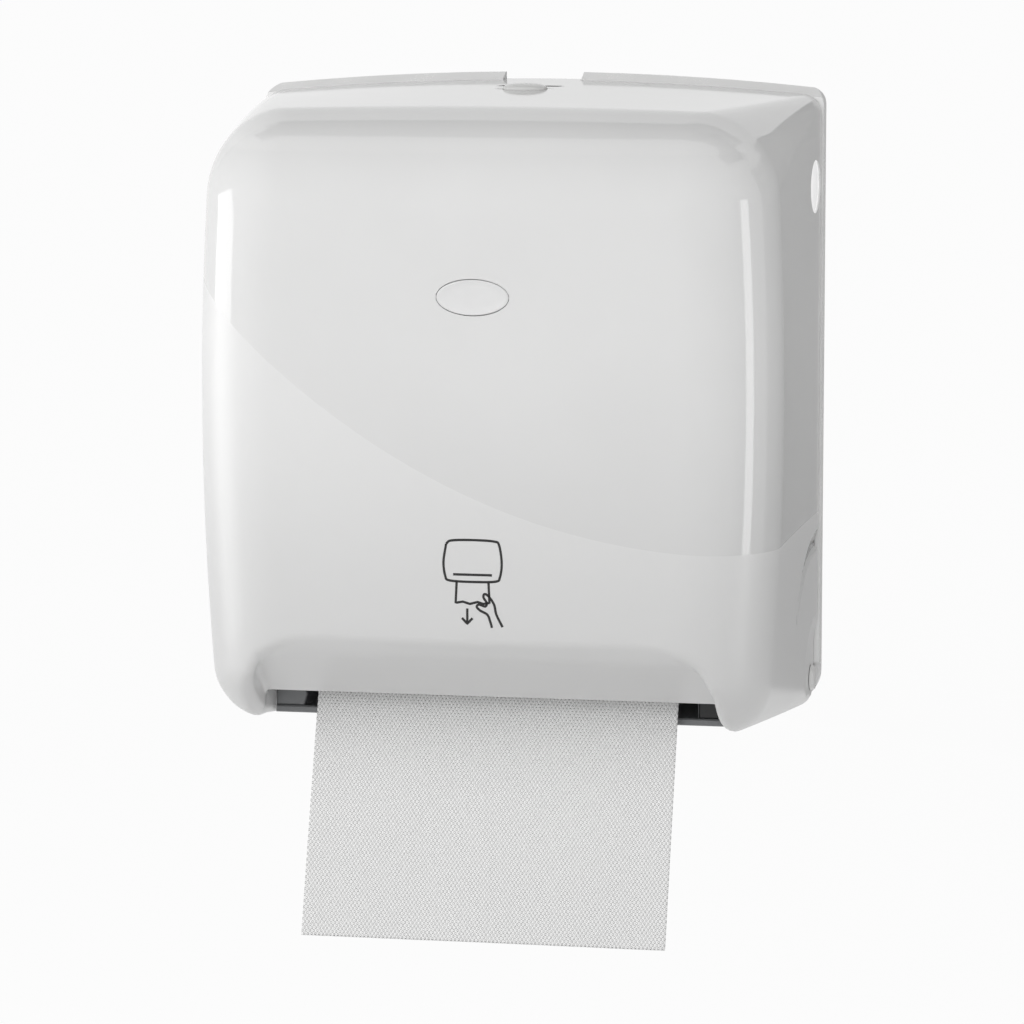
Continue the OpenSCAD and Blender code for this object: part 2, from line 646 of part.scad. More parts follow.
module drum_screws() color([0.7, 0.71, 0.72]) on_drum_axis() both_sides() for (a = [30, 90])
    translate([cap_out, cap_screw_r * cos(a), cap_screw_r * sin(a)]) rotate([0, 90, 0]) union() {
        translate([0, 0, -cap_t]) cylinder(r = screw_r, h = cap_t + 0.5);
        cylinder(r = head_r, h = 1.6);
    }
module drum_axle() color([0.75, 0.76, 0.77]) rod(-frame_out - 5, frame_out + 18, axle_d / 2, drum_y, drum_z);

// crank, stop wheel and hand wheel on the drum axle
crank_r = 16;
post_turn = atan2(post_z - drum_z, post_y - drum_y);
crank_y = drum_y + crank_r * cos(post_turn);
crank_z = drum_z + crank_r * sin(post_turn);
module spring_crank() color([0.35, 0.36, 0.38]) difference() {
    union() {
        rod(-frame_out - 4.5, -frame_out - 1, crank_r + 5, drum_y, drum_z);
        rod(-frame_out - 13, -frame_out - 4, 2.5, crank_y, crank_z);
    }
    rod(-frame_out - 6, -frame_out, axle_d / 2, drum_y, drum_z);
}
stop_r = 20;
stop_root = 16.4;
stop_turn = -80;
module stop_wheel() color([0.8, 0.79, 0.74]) difference() {
    along_x(frame_out + 1, frame_out + 5) translate([drum_y, drum_z]) rotate(stop_turn)
        polygon([for (i = [0:stop_teeth - 1]) for (k = [0, 1])
            (k == 0 ? stop_root : stop_r) * [cos((i + 0.86 * k) * 360 / stop_teeth),
                sin((i + 0.86 * k) * 360 / stop_teeth)]]);
    rod(frame_out, frame_out + 6, axle_d / 2, drum_y, drum_z);
}
module feed_wheel() color([0.45, 0.62, 0.5]) difference() {
    rod(frame_out + 6.6, frame_out + 17, wheel_d / 2, drum_y, drum_z);
    rod(frame_out + 6, frame_out + 18, axle_d / 2, drum_y, drum_z);
    for (i = [0:11]) rod(frame_out + 6, frame_out + 18, 4, drum_y + (wheel_d / 2 + 1.5) * cos(i * 30),
        drum_z + (wheel_d / 2 + 1.5) * sin(i * 30));
}
// pawl that drops into the stop wheel, drawn lifted clear
nose_y = 2;
nose_z = -stop_r - 0.9;
nose_gap = [nose_y + drum_y - pawl_y, nose_z + drum_z - pawl_z];
module stop_pawl() color([0.3, 0.31, 0.33]) difference() {
    union() {
        rod(frame_out + 1.2, frame_out + 4.8, 5, pawl_y, pawl_z);
        along_x(frame_out + 1.2, frame_out + 4.8) translate([pawl_y, pawl_z])
            polygon([[-2, -4.5], nose_gap + [0, -4], nose_gap, nose_gap + [2.6, -1], [4, 3], [4, -3]]);
    }
    rod(frame_out, frame_out + 6, 2 + play, pawl_y, pawl_z);
}

// knife inside the drum
arm_u = 4;
arm_v = -28;
knife_turn = atan2(tip_v - knife_v, knife_u - tip_u);
knife_len = sqrt(pow(tip_u - knife_u, 2) + pow(tip_v - knife_v, 2));
module at_knife() {
    on_drum_axis() translate([0, -knife_u, knife_v]) rotate([knife_turn, 0, 0]) children();
}
module knife_carrier() color([0.4, 0.41, 0.43]) at_knife() difference() {
    union() {
        box(-blade_half, blade_half, 0, knife_len - 8, -1.2, 1.2);
        for (x = [-90, -30, 30, 90]) rod(x - 6, x + 6, 4, 0, 0);
    }
    rod(-blade_half - 1, blade_half + 1, 2, 0, 0);
    for (x = [-75, 0, 75]) translate([x, knife_len - 14, -3]) cylinder(r = 1.5, h = 6);
}
teeth = floor(2 * blade_half / tooth_pitch) - 1;
saw_half = teeth * tooth_pitch / 2;
module knife_blade() color([0.8, 0.81, 0.82]) at_knife() translate([0, 0, 1.2]) difference() {
    linear_extrude(blade_t) polygon(concat([[-saw_half, knife_len - 20]],
        [for (i = [0:teeth - 1]) for (k = [0, 1])
            [-saw_half + (i + 0.5 * k) * tooth_pitch, knife_len - tooth_h + k * tooth_h]],
        [[saw_half, knife_len - tooth_h], [saw_half, knife_len - 20]]));
    for (x = [-75, 0, 75]) translate([x, knife_len - 14, -1]) cylinder(r = 1.5, h = 4);
}
module knife_rivets() color([0.72, 0.73, 0.74]) at_knife() for (x = [-75, 0, 75])
    translate([x, knife_len - 14, -1.2]) union() {
        cylinder(r = 1.5, h = 2.6 + blade_t);
        translate([0, 0, 2.4 + blade_t]) cylinder(r = 2.8, h = 1);
    }
module knife_rod() color([0.72, 0.73, 0.74]) on_drum_axis() rod(-cap_out - 2.9, cap_out, 2, -knife_u, knife_v);
module cam_arm() color([0.35, 0.36, 0.38]) on_drum_axis() difference() {
    union() {
        along_x(-cap_out - 2.8, -cap_out - 0.6) union() {
            translate([-knife_u, knife_v]) circle(4);
            polygon([[-knife_u, knife_v + 3.5], [-arm_u, arm_v + 2.5], [-arm_u, arm_v - 2.5], [-knife_u, knife_v - 3.5]]);
            translate([-arm_u, arm_v]) circle(2.5);
        }
        rod(-frame_in + 0.5, -cap_out - 2.7, 2.5, -arm_u, arm_v);
    }
    rod(-cap_out - 4, -cap_out, 2, -knife_u, knife_v);
}

// lock under the cover top
hook_rear = 17;
hook_top = lock_top - 4.5;
button_top = top_at(button_y, 0);
module lock_button() color([0.9, 0.9, 0.89]) translate([0, -button_y, 0]) union() {
    hull() {
        translate([0, 0, button_top - 3]) linear_extrude(3.6) polygon(oval(button_w, button_d, 48));
        translate([0, 0, button_top + 1.6]) linear_extrude(0.6) polygon(oval(button_w - 4, button_d - 4, 48));
        translate([0, 0, button_top + 3]) linear_extrude(0.3) polygon(oval(button_w - 13, button_d - 11, 48));
    }
    translate([0, 0, hook_top]) cylinder(r = 5, h = button_top - 2 - hook_top);
}
module latch_hook() color([0.72, 0.73, 0.74]) difference() {
    union() {
        box(-hook_half, hook_half, -button_y - 7, -hook_rear, hook_top - 3, hook_top);
        box(-hook_half, hook_half, -hook_rear - 3, -hook_rear, hook_top - 3, hook_top + 7);
    }
    translate([0, -button_y, hook_top - 4]) cylinder(r = screw_r, h = 6);
}
module latch_screw() color([0.7, 0.71, 0.72]) translate([0, -button_y, hook_top - 3]) union() {
    translate([0, 0, -1.6]) cylinder(r = head_r, h = 1.6);
    cylinder(r = screw_r, h = 3);
}
strike_y = -hook_rear - 3 - play - 0.6;
module lock_strike() color([0.72, 0.73, 0.74]) difference() {
    union() {
        box(-22, 22, foot_y - 2, foot_y, top_z - 37, top_z - 12);
        box(-hook_half - 3, hook_half + 3, strike_y - 2, foot_y - 1, top_z - 14, top_z - 12);
        box(-hook_half - 3, hook_half + 3, strike_y - 2, strike_y, hook_top + 4, top_z - 12);
    }
    for (s = [-1, 1]) peg(foot_y - 3, foot_y + 1, screw_r, s * 16, top_z - 30);
}
module strike_screws() color([0.7, 0.71, 0.72]) for (s = [-1, 1]) screw_y(s * 16, top_z - 30, foot_y - 2, 7);
spring_z = hook_top - 13.5;
module lock_housing() color([0.4, 0.41, 0.43]) difference() {
    union() {
        box(-14, 14, -button_y - 16, -button_y + 20, spring_z - 2, lock_top - 3);
        for (d = boss_y) box(-boss_x - 5, boss_x + 5, -d - 5, -d + 5, lock_top - 2.5, lock_top);
        for (s = [-1, 1]) box(s * 13 - 1.5, s * 13 + 1.5, -boss_y[1] - 5, -boss_y[0] + 5, lock_top - 4, lock_top);
    }
    box(-12, 12, -button_y - 14, -button_y + 18, spring_z, lock_top + 1);
    box(-hook_half - 1, hook_half + 1, -button_y - 12, -button_y + 40, hook_top - 3 - press - 1, lock_top + 1);
    for (s = [-1, 1]) for (d = boss_y) translate([s * boss_x, -d, lock_top - 4]) cylinder(r = screw_r, h = 6);
}
module lock_screws() color([0.7, 0.71, 0.72]) for (s = [-1, 1]) for (d = boss_y)
    translate([s * boss_x, -d, lock_top - 2.5]) union() {
        translate([0, 0, -1.6]) cylinder(r = head_r, h = 1.6);
        translate([0, 0, -0.5]) cylinder(r = screw_r, h = 7);
    }

// coil springs: a round wire wound along +Z
function coil_point(r, pitch, a) = [r * cos(a), r * sin(a), pitch * a / 360];
function coil_ring(r, wire, pitch, a, sides) = [for (k = [0:sides - 1])
    coil_point(r + wire * cos(k * 360 / sides), pitch, a) + [0, 0, wire * sin(k * 360 / sides)]];
module coil(r, wire, pitch, turns) {
    sides = 6;
    steps = round(turns * 12);
    rings = [for (i = [0:steps]) coil_ring(r, wire, pitch, i * 30, sides)];
    points = [for (g = rings) for (p = g) p];
    walls = [for (j = [0:steps - 1]) for (i = [0:sides - 1]) for (t = [0, 1])
        t == 0 ? [j * sides + i, (j + 1) * sides + (i + 1) % sides, j * sides + (i + 1) % sides]
            : [j * sides + i, (j + 1) * sides + i, (j + 1) * sides + (i + 1) % sides]];
    caps = [[for (i = [0:sides - 1]) i], [for (i = [0:sides - 1]) steps * sides + sides - 1 - i]];
    polyhedron(points, concat(walls, caps));
}
lock_pitch = (hook_top - 3 - spring_z - 1.4) / 4;
module lock_spring() color([0.75, 0.76, 0.77]) translate([0, -button_y, spring_z + 0.7])
    coil(5, 0.5, lock_pitch, 4);
spring_from = crank_r + 3.8;
spring_to = sqrt(pow(post_y - drum_y, 2) + pow(post_z - drum_z, 2)) - 3.8;
drive_pitch = (spring_to - spring_from) / 16;
module drive_spring() color([0.75, 0.76, 0.77]) translate([-frame_out - 9.8, drum_y, drum_z])
    rotate([post_turn - 90, 0, 0]) translate([0, 0, spring_from])
        coil(4.2, 0.7, drive_pitch, 16);
pinch_pitch = 1.6;
module pinch_springs() color([0.75, 0.76, 0.77]) both_sides() translate([frame_in - 5.8, cradle_y, cradle_z])
    rotate([0, -90, 0]) coil(6.4, 0.5, pinch_pitch, 4);
// least gap between neighbouring turns, measured on the wire's own points
function turn_gap(r, wire, pitch, turns) = min([for (a = [360:30:360 * turns])
    norm(coil_point(r, pitch, a) - coil_point(r, pitch, a - 360))]) - 2 * wire;
echo(lock_gap = turn_gap(5, 0.5, lock_pitch, 4), drive_gap = turn_gap(4.2, 0.7, drive_pitch, 16),
    pinch_gap = turn_gap(6.4, 0.5, pinch_pitch, 4));

back_plate();
side_frame_left();
side_frame_right();
chassis_tray();
drum_bushes();
cam_ring();
frame_screws();
roll_arm_left();
arm_bracket();
arm_pin();
arm_screws();
hinge_pins();
lock_strike();
strike_screws();
cradle_rod();
pawl_pin();
drive_spring();
pinch_springs();
towel_sheet();
front_cover();
badge_plate();
level_windows();
lock_housing();
lock_screws();
lock_spring();
lock_button();
latch_hook();
latch_screw();
drum_shell_front();
drum_shell_rear();
drum_cap_left();
drum_cap_right();
drum_grips();
drum_axle();
spring_crank();
stop_wheel();
feed_wheel();
drum_screws();
knife_carrier();
knife_blade();
knife_rod();
knife_rivets();
cam_arm();
pinch_cradle();
pinch_shaft();
pinch_sleeves();
roll_core();
paper_roll();
roll_arm_right();
stop_pawl();
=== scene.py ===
import json
import math

import bpy
import numpy as np
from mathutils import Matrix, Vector


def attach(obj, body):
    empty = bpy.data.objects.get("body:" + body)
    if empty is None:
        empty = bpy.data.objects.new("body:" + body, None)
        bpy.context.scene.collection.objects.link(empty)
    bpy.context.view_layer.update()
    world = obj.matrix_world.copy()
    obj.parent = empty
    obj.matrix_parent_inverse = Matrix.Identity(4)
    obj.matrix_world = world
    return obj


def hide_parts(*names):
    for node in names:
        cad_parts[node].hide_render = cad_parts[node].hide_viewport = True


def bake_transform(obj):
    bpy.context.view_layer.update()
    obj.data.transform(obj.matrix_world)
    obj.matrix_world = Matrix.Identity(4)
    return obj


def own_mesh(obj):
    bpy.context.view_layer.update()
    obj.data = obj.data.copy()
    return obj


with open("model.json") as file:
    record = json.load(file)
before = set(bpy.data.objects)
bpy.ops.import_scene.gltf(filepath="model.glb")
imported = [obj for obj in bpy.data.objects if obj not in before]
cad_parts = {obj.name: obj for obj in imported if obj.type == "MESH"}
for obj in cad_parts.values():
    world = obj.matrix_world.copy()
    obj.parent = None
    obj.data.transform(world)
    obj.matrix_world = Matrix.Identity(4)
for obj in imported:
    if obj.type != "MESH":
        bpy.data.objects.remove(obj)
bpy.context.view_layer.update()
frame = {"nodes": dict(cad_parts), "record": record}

scene = bpy.context.scene
scene.view_settings.view_transform = "Standard"
mm = 0.001
print("frame loaded,", len(frame["nodes"]), "nodes")

# camera as in the photo
photoView = {"place": (0.5256, -2.8246, 0.3108), "turn": 11.0, "tilt": 7.69, "lens": 169.83,
    "shiftX": 0.0049, "shiftY": 0.001}


def setCamera(view):
    lensData = bpy.data.cameras.new("photoCamera")
    lensData.sensor_width = 36
    lensData.lens = view["lens"]
    lensData.shift_x = view["shiftX"]
    lensData.shift_y = view["shiftY"]
    lensData.clip_end = 1000
    camera = bpy.data.objects.new("photoCamera", lensData)
    camera.location = view["place"]
    camera.rotation_euler = (math.radians(90 - view["tilt"]), 0, math.radians(view["turn"]))
    scene.collection.objects.link(camera)
    scene.camera = camera


setCamera(photoView)


# a socket that can be used in sums
class Wire:
    def __init__(self, finish, socket):
        self.finish = finish
        self.socket = socket

    def math(self, kind, *values):
        return self.finish.add("ShaderNodeMath", {"operation": kind}, *values)

    def __add__(self, other):
        return self.math("ADD", self, other)

    __radd__ = __add__

    def __sub__(self, other):
        return self.math("SUBTRACT", self, other)

    def __rsub__(self, other):
        return self.math("SUBTRACT", other, self)

    def __mul__(self, other):
        return self.math("MULTIPLY", self, other)

    __rmul__ = __mul__

    def __truediv__(self, other):
        return self.math("DIVIDE", self, other)

    def __pow__(self, other):
        return self.math("POWER", self, other)

    def __abs__(self):
        return self.math("ABSOLUTE", self)

    def sin(self):
        return self.math("SINE", self)

    def cos(self):
        return self.math("COSINE", self)

    def atLeast(self, other):
        return self.math("MAXIMUM", self, other)

    def ease(self, low, high):
        smooth = {"interpolation_type": "SMOOTHSTEP"}
        return self.finish.add("ShaderNodeMapRange", smooth, self, low, high, 0.0, 1.0)


class Finish:
    def __init__(self, name, **sockets):
        self.material = bpy.data.materials.new(name)
        self.material.use_nodes = True
        self.tree = self.material.node_tree
        self.shader = self.tree.nodes["Principled BSDF"]
        self.place = self.add("ShaderNodeTexCoord", {}, out="Object")
        for key, value in sockets.items():
            self.shader.inputs[key.replace("_", " ")].default_value = value

    def add(self, kind, settings, *values, out=0, **named):
        node = self.tree.nodes.new(kind)
        for key, value in settings.items():
            setattr(node, key, value)
        pairs = list(enumerate(values)) + [(key.replace("_", " "), value) for key, value in named.items()]
        for key, value in pairs:
            self.feed(node.inputs[key], value)
        return Wire(self, node.outputs[out])

    def feed(self, socket, value):
        if isinstance(value, Wire):
            self.tree.links.new(value.socket, socket)
        elif value is not None:
            socket.default_value = value

    def mix(self, share, first, second):
        node = self.tree.nodes.new("ShaderNodeMix")
        node.data_type = "RGBA"
        for key, value in ((0, share), (6, first), (7, second)):
            self.feed(node.inputs[key], value)
        return Wire(self, node.outputs[2])

    def noise(self, scale, detail=2.0, rough=0.5, place=None):
        return self.add("ShaderNodeTexNoise", {}, Vector=place or self.place, Scale=scale, Detail=detail,
            Roughness=rough)

    def parts(self, vector):
        node = self.tree.nodes.new("ShaderNodeSeparateXYZ")
        self.feed(node.inputs[0], vector)
        return [Wire(self, node.outputs[k]) for k in range(3)]

    def bump(self, height, distance, edge=0.0):
        soft = self.add("ShaderNodeBevel", {"samples": 4}, edge) if edge else None
        self.feed(self.shader.inputs["Normal"],
            self.add("ShaderNodeBump", {}, Height=height, Distance=distance, Normal=soft))

    def set(self, **wires):
        for key, value in wires.items():
            self.feed(self.shader.inputs[key.replace("_", " ")], value)


def tint(level, warm=0.0):
    return (level * (1 + warm), level, level * (1 - warm), 1.0)


def shade(rgb, gain):
    return (rgb[0] * gain, rgb[1] * gain, rgb[2] * gain, 1.0)


# moulded plastic: spark texture, slow tone drift, uneven gloss
def mouldedFinish(name, rgb, rough, grain=0.00003, drift=0.04, edge=0.0005):
    finish = Finish(name, IOR=1.49)
    cloud = finish.noise(28.0, 3.0)
    fine = finish.noise(900.0, 2.0)
    speck = finish.noise(2600.0, 1.0)
    finish.set(Base_Color=finish.mix(cloud.ease(0.3, 0.7), shade(rgb, 1 - drift), shade(rgb, 1 + drift * 0.5)))
    finish.set(Roughness=rough + 0.12 * (fine - 0.5) + 0.08 * (cloud - 0.5))
    finish.bump(fine * 0.7 + speck * 0.3, grain, edge)
    return finish.material


# plated or ground steel: drawn lines along X
def steelFinish(name, rgb, rough, stretch):
    finish = Finish(name, Metallic=1.0)
    lined = finish.add("ShaderNodeMapping", {}, finish.place, Scale=stretch)
    streak = finish.noise(1.0, 3.0, 0.6, lined)
    cloud = finish.noise(60.0, 2.0)
    finish.set(Base_Color=finish.mix(streak.ease(0.3, 0.7), shade(rgb, 0.86), shade(rgb, 1.06)))
    finish.set(Roughness=rough + 0.18 * (streak - 0.5) + 0.08 * (cloud - 0.5))
    finish.bump(streak, 0.00004, 0.0002)
    return finish.material


def rubberFinish(name, rgb):
    finish = Finish(name, IOR=1.5)
    fine = finish.noise(1300.0, 3.0, 0.65)
    dust = finish.noise(45.0, 4.0)
    finish.set(Base_Color=finish.mix(dust.ease(0.45, 0.8), shade(rgb, 0.9), shade(rgb, 1.7)))
    finish.set(Roughness=0.72 + 0.2 * (fine - 0.5))
    finish.bump(fine, 0.00008)
    return finish.material


print("shader tools ready")

# the cover's form in millimetres, after the part's source, with a wider outlet and a grooved crescent
coverShape = {"halfWidth": 167.5, "top": 187.0, "base": -187.0, "depth": 221.0, "lip": 3.7, "crown": 8.5,
    "crownFade": 0.7, "topSlope": 0.052, "baseSlope": 0.055, "sideStep": 0.9, "sideTaper": 0.024, "cornerBack": 10.0,
    "cornerTop": 50.0, "cornerBase": 32.0, "growth": 1.6, "roundTop": 56.0, "roundSide": 50.0, "roundBottom": 62.0,
    "bow": 9.0, "swell": 7.0, "swellMid": 6.5, "swellHalf": 134.0, "swellLeast": -0.6, "limit": 240.0,
    "growShort": 30.0, "sideBlend": 35.0, "endBlend": 60.0}
outlet = {"halfWidth": 132.0, "corner": 38.0, "browDepth": 166.0, "browZ": -162.0, "rise": 35.5, "run": 53.0,
    "floorRound": 3.0, "edgeRound": 9.0, "ceiling": -157.5, "notchRound": 1.2}
recess = {"floor": 166.6, "hingeFloor": 164.2, "near": (22.0, 42.0), "mid": (-12.0, -131.5), "outer": (80.0, 51.0),
    "inner": (77.5, 41.5), "deep": 3.0, "steep": 0.5, "back": 2.5, "fade": (-130.0, -118.0), "lean": 0.9}
coverCuts = {"rear": 12.8, "tongueHalf": 22.7, "tongueRear": 4.0, "hinge": (-26.5, -167.5), "hingeRound": 12.0,
    "hingeIn": 159.0, "pinHole": 3.4, "window": (33.0, 123.0, 18.0, 15.5), "button": (66.0, 13.4, 11.4),
    "badge": (72.0, 20.8, 10.3), "slot": (49.4, 2.4, 18.5), "ribEnd": 115.0, "ribOut": 136.0, "ribRise": 6.0,
    "outletSlack": (0.8, 0.6, 1.5), "upper": 150.0, "lower": -150.0, "pinFrom": 150.0, "windowFrom": 140.0,
    "buttonFrom": 100.0, "badgeFrom": 200.0}
coverMesh = {"step": 3.0, "wall": 2.6, "settle": 4, "low": (-171, -225, -192), "high": (171, 3, 189)}


def roundedMax(a, b, r):
    return np.minimum(np.maximum(a, b), -r) + np.hypot(np.maximum(a + r, 0), np.maximum(b + r, 0))


def ease(low, high, value):
    t = np.clip((value - low) / (high - low), 0, 1)
    return t * t * (3 - 2 * t)


def swellAt(depth, z):
    c = coverShape
    reach = (np.clip(depth, 0, c["limit"]) / c["depth"]) ** 2
    share = np.maximum(1 - ((z - c["swellMid"]) / c["swellHalf"]) ** 2, c["swellLeast"])
    return c["swell"] / c["halfWidth"] * reach * share


def sideAt(depth):
    return coverShape["halfWidth"] - coverShape["sideStep"] - coverShape["sideTaper"] * depth


def shellField(x, y, z):
    c = coverShape
    across = (x / c["halfWidth"]) ** 2
    depth = -y
    for k in range(2):
        depth = -y + c["bow"] * across * (np.clip(depth, 0, c["limit"]) / c["depth"]) ** 3
    crown = c["crown"] * (1 - c["crownFade"] * np.clip(depth, 0, c["limit"]) / c["depth"])
    high = np.where(z > 0, z / (1 - crown * across / c["top"]), z)
    wide = np.abs(x) / (1 + swellAt(depth, high))
    top = c["top"] - c["lip"] - c["topSlope"] * depth
    base = c["base"] + c["baseSlope"] * depth
    mid, tall = (top + base) / 2, (top - base) / 2
    grown = np.clip(depth / (c["depth"] - c["growShort"]), 0, 1)
    r = c["cornerBack"] + np.where(high > mid, (c["cornerTop"] - c["cornerBack"]) * grown ** c["growth"],
        (c["cornerBase"] - c["cornerBack"]) * grown)
    a = wide - (sideAt(depth) - r)
    b = np.abs(high - mid) - (tall - r)
    section = np.hypot(np.maximum(a, 0), np.maximum(b, 0)) + np.minimum(np.maximum(a, b), 0) - r
    sideShare = ease(-c["sideBlend"], c["sideBlend"], a - b)
    topShare = ease(-c["endBlend"], c["endBlend"], high - mid)
    ends = topShare * c["roundTop"] + (1 - topShare) * c["roundBottom"]
    return roundedMax(section, depth - c["depth"], sideShare * c["roundSide"] + (1 - sideShare) * ends)


def scoopField(x, y, z):
    o = outlet
    length = math.hypot(o["rise"], o["run"])
    along = (-(y + o["browDepth"]) * o["run"] + (z - o["browZ"]) * o["rise"]) / length
    out = (-(y + o["browDepth"]) * o["rise"] - (z - o["browZ"]) * o["run"]) / length
    a = np.abs(x) - (o["halfWidth"] - o["corner"])
    b = along - (length - o["corner"])
    outline = np.hypot(np.maximum(a, 0), np.maximum(b, 0)) + np.minimum(np.maximum(a, b), 0) - o["corner"]
    return roundedMax(outline, -out, o["floorRound"])


def ovalRing(y, z, mid, reach):
    u = (y - mid[0]) / reach[0]
    v = np.maximum((z - mid[1]) / reach[1], 0)
    n = np.hypot(u, v) + 1e-9
    return (n - 1) * n / (np.hypot(u / reach[0], v / reach[1]) + 1e-9)


# a crescent groove in the side, then a shallow floor down to the hinge
def recessField(x, y, z):
    r = recess
    outer, inner = (ovalRing(y, z, r["mid"], r[k]) for k in ("outer", "inner"))
    side = sideAt(-y) * (1 + swellAt(-y, z))
    wide = np.maximum(-outer + np.maximum(inner, 0), 1e-6)
    groove = np.minimum(r["deep"], r["steep"] * wide) * ease(*r["fade"], z)
    shareIn = np.where(inner > 0, np.clip(-outer / wide, 0, 1), np.maximum(1 + inner / r["back"], 0))
    away = np.hypot(y - coverCuts["hinge"][0], z - coverCuts["hinge"][1])
    floor = r["hingeFloor"] + (r["floor"] - r["hingeFloor"]) * ease(*r["near"], away)
    depth = np.where(inner > 0, groove * shareIn, np.maximum(groove * shareIn, side - floor))
    return np.maximum((side - np.maximum(depth, 0) - np.abs(x)) * r["lean"], outer)


def coverField(p):
    x, y, z = p
    o = outlet
    f = roundedMax(shellField(x, y, z), -scoopField(x, y, z), o["edgeRound"])
    notch = np.maximum(np.maximum(np.abs(x) - o["halfWidth"], z - o["ceiling"]), -y - o["browDepth"])
    f = roundedMax(f, -notch, o["notchRound"])
    return np.maximum(f, -recessField(x, y, z))


# above zero where the skin stays
def coverKept(p):
    x, y, z = p
    side, d, cuts = np.abs(x), -y, coverCuts
    tongue = np.minimum(np.minimum(cuts["tongueHalf"] - side, d - cuts["tongueRear"]), z - cuts["upper"])
    kept = np.maximum(d - cuts["rear"], tongue)
    hy, hz = cuts["hinge"]
    away = np.hypot(y - hy, z - hz)
    knuckle = np.where(side > cuts["hingeIn"], cuts["hingeRound"] - away, -1.0)
    kept = np.minimum(kept, np.maximum(np.maximum(hy - y, z - hz), knuckle))
    rib = np.maximum(np.maximum(side - cuts["ribOut"], d - cuts["ribEnd"]),
        np.maximum(coverShape["base"] + coverShape["baseSlope"] * d + cuts["ribRise"] - z, z - cuts["lower"]))
    kept = np.minimum(kept, rib)
    kept = np.minimum(kept, np.maximum(away - cuts["pinHole"], cuts["pinFrom"] - side))
    slackX, slackD, slackZ = cuts["outletSlack"]
    ceiling = np.maximum(np.maximum(side - outlet["halfWidth"] + slackX, d - outlet["browDepth"] + slackD),
        np.maximum(outlet["ceiling"] - slackZ - z, z - cuts["lower"]))
    kept = np.minimum(kept, ceiling)
    wd, wz, wa, wb = cuts["window"]
    kept = np.minimum(kept, np.maximum((np.hypot((d - wd) / wa, (z - wz) / wb) - 1) * wb, cuts["windowFrom"] - side))
    bd, ba, bb = cuts["button"]
    kept = np.minimum(kept, np.maximum((np.hypot(x / ba, (d - bd) / bb) - 1) * bb, cuts["buttonFrom"] - z))
    sd, sw, sl = cuts["slot"]
    kept = np.minimum(kept, np.maximum(np.maximum(side - sl, np.abs(d - sd) - sw), cuts["upper"] - z))
    gz, ga, gb = cuts["badge"]
    return np.minimum(kept, np.maximum((np.hypot(x / ga, (z - gz) / gb) - 1) * gb, cuts["badgeFrom"] - d))


def slopeOf(field, points, gap=0.05):
    found = np.zeros_like(points)
    for k in range(3):
        shift = np.zeros((3, 1))
        shift[k] = gap
        found[:, k] = (field(points.T + shift) - field(points.T - shift)) / (2 * gap)
    return found


def pullOn(field, points, rounds):
    for k in range(rounds):
        slope = slopeOf(field, points)
        size = np.maximum((slope ** 2).sum(1), 0.05)
        step = field(points.T) / size
        points = points - slope * np.clip(step, -2, 2)[:, None]
    return points


# quads over the zero level of a field, spread evenly and pulled onto it
def skinOver(field, low, high, step, settle):
    axes = [np.arange(low[k], high[k] + step, step) for k in range(3)]
    inside = field(np.meshgrid(*axes, indexing="ij", sparse=True)) < 0
    cut = [slice(0, -1), slice(1, None)]
    count = sum(inside[cut[i], cut[j], cut[k]].astype(np.int8) for i in (0, 1) for j in (0, 1) for k in (0, 1))
    mixed = (count > 0) & (count < 8)
    number = np.full(mixed.shape, -1, np.int64)
    cells = np.argwhere(mixed)
    number[mixed] = np.arange(len(cells))
    points = np.array(low) + (cells + 0.5) * step
    quads = []
    for axis in range(3):
        first, second = [(1, 2), (2, 0), (0, 1)][axis]
        ahead = np.moveaxis(inside, axis, 0)
        change = np.moveaxis(ahead[1:] != ahead[:-1], 0, axis)
        spots = np.argwhere(change)
        good = (spots[:, first] > 0) & (spots[:, second] > 0)
        for other in (first, second):
            good &= spots[:, other] < mixed.shape[other]
        spots = spots[good]
        corners = []
        for da, db in ((1, 1), (0, 1), (0, 0), (1, 0)):
            at = spots.copy()
            at[:, first] -= da
            at[:, second] -= db
            corners.append(number[at[:, 0], at[:, 1], at[:, 2]])
        ring = np.stack(corners, 1)
        out = inside[spots[:, 0], spots[:, 1], spots[:, 2]]
        quads.append(np.where(out[:, None], ring, ring[:, ::-1]))
    quads = np.concatenate(quads)
    points = pullOn(field, points, 4)
    for k in range(settle):
        total, weight = np.zeros_like(points), np.zeros(len(points))
        for a in range(4):
            for b in ((a + 1) % 4, (a + 3) % 4):
                np.add.at(total, quads[:, a], points[quads[:, b]])
                np.add.at(weight, quads[:, a], 1)
        points = points * 0.4 + 0.6 * total / np.maximum(weight, 1)[:, None]
        points = pullOn(field, points, 2)
    return points, quads


# cuts triangles along the zero of a value held at each point
def clipped(points, faces, kept):
    stays = kept > 0
    count = stays[faces].sum(1)
    result = [faces[count == 3]]
    fresh, made = {}, []

    def between(a, b):
        key = (min(a, b), max(a, b))
        if key not in fresh:
            t = kept[a] / (kept[a] - kept[b])
            fresh[key] = len(points) + len(made)
            made.append(points[a] + (points[b] - points[a]) * t)
        return fresh[key]

    extra = []
    for face in faces[(count == 1) | (count == 2)].tolist():
        odd = [stays[v] for v in face]
        lone = odd.index(True) if sum(odd) == 1 else odd.index(False)
        o, a, b = face[lone], face[(lone + 1) % 3], face[(lone + 2) % 3]
        p, q = between(o, a), between(o, b)
        if sum(odd) == 1:
            extra.append((o, p, q))
        else:
            extra.extend([(p, a, b), (p, b, q)])
    if extra:
        result.append(np.array(extra, np.int64))
        points = np.concatenate([points, np.array(made)])
    faces = np.concatenate(result)
    used, faces = np.unique(faces, return_inverse=True)
    return points[used], faces.reshape(-1, 3)


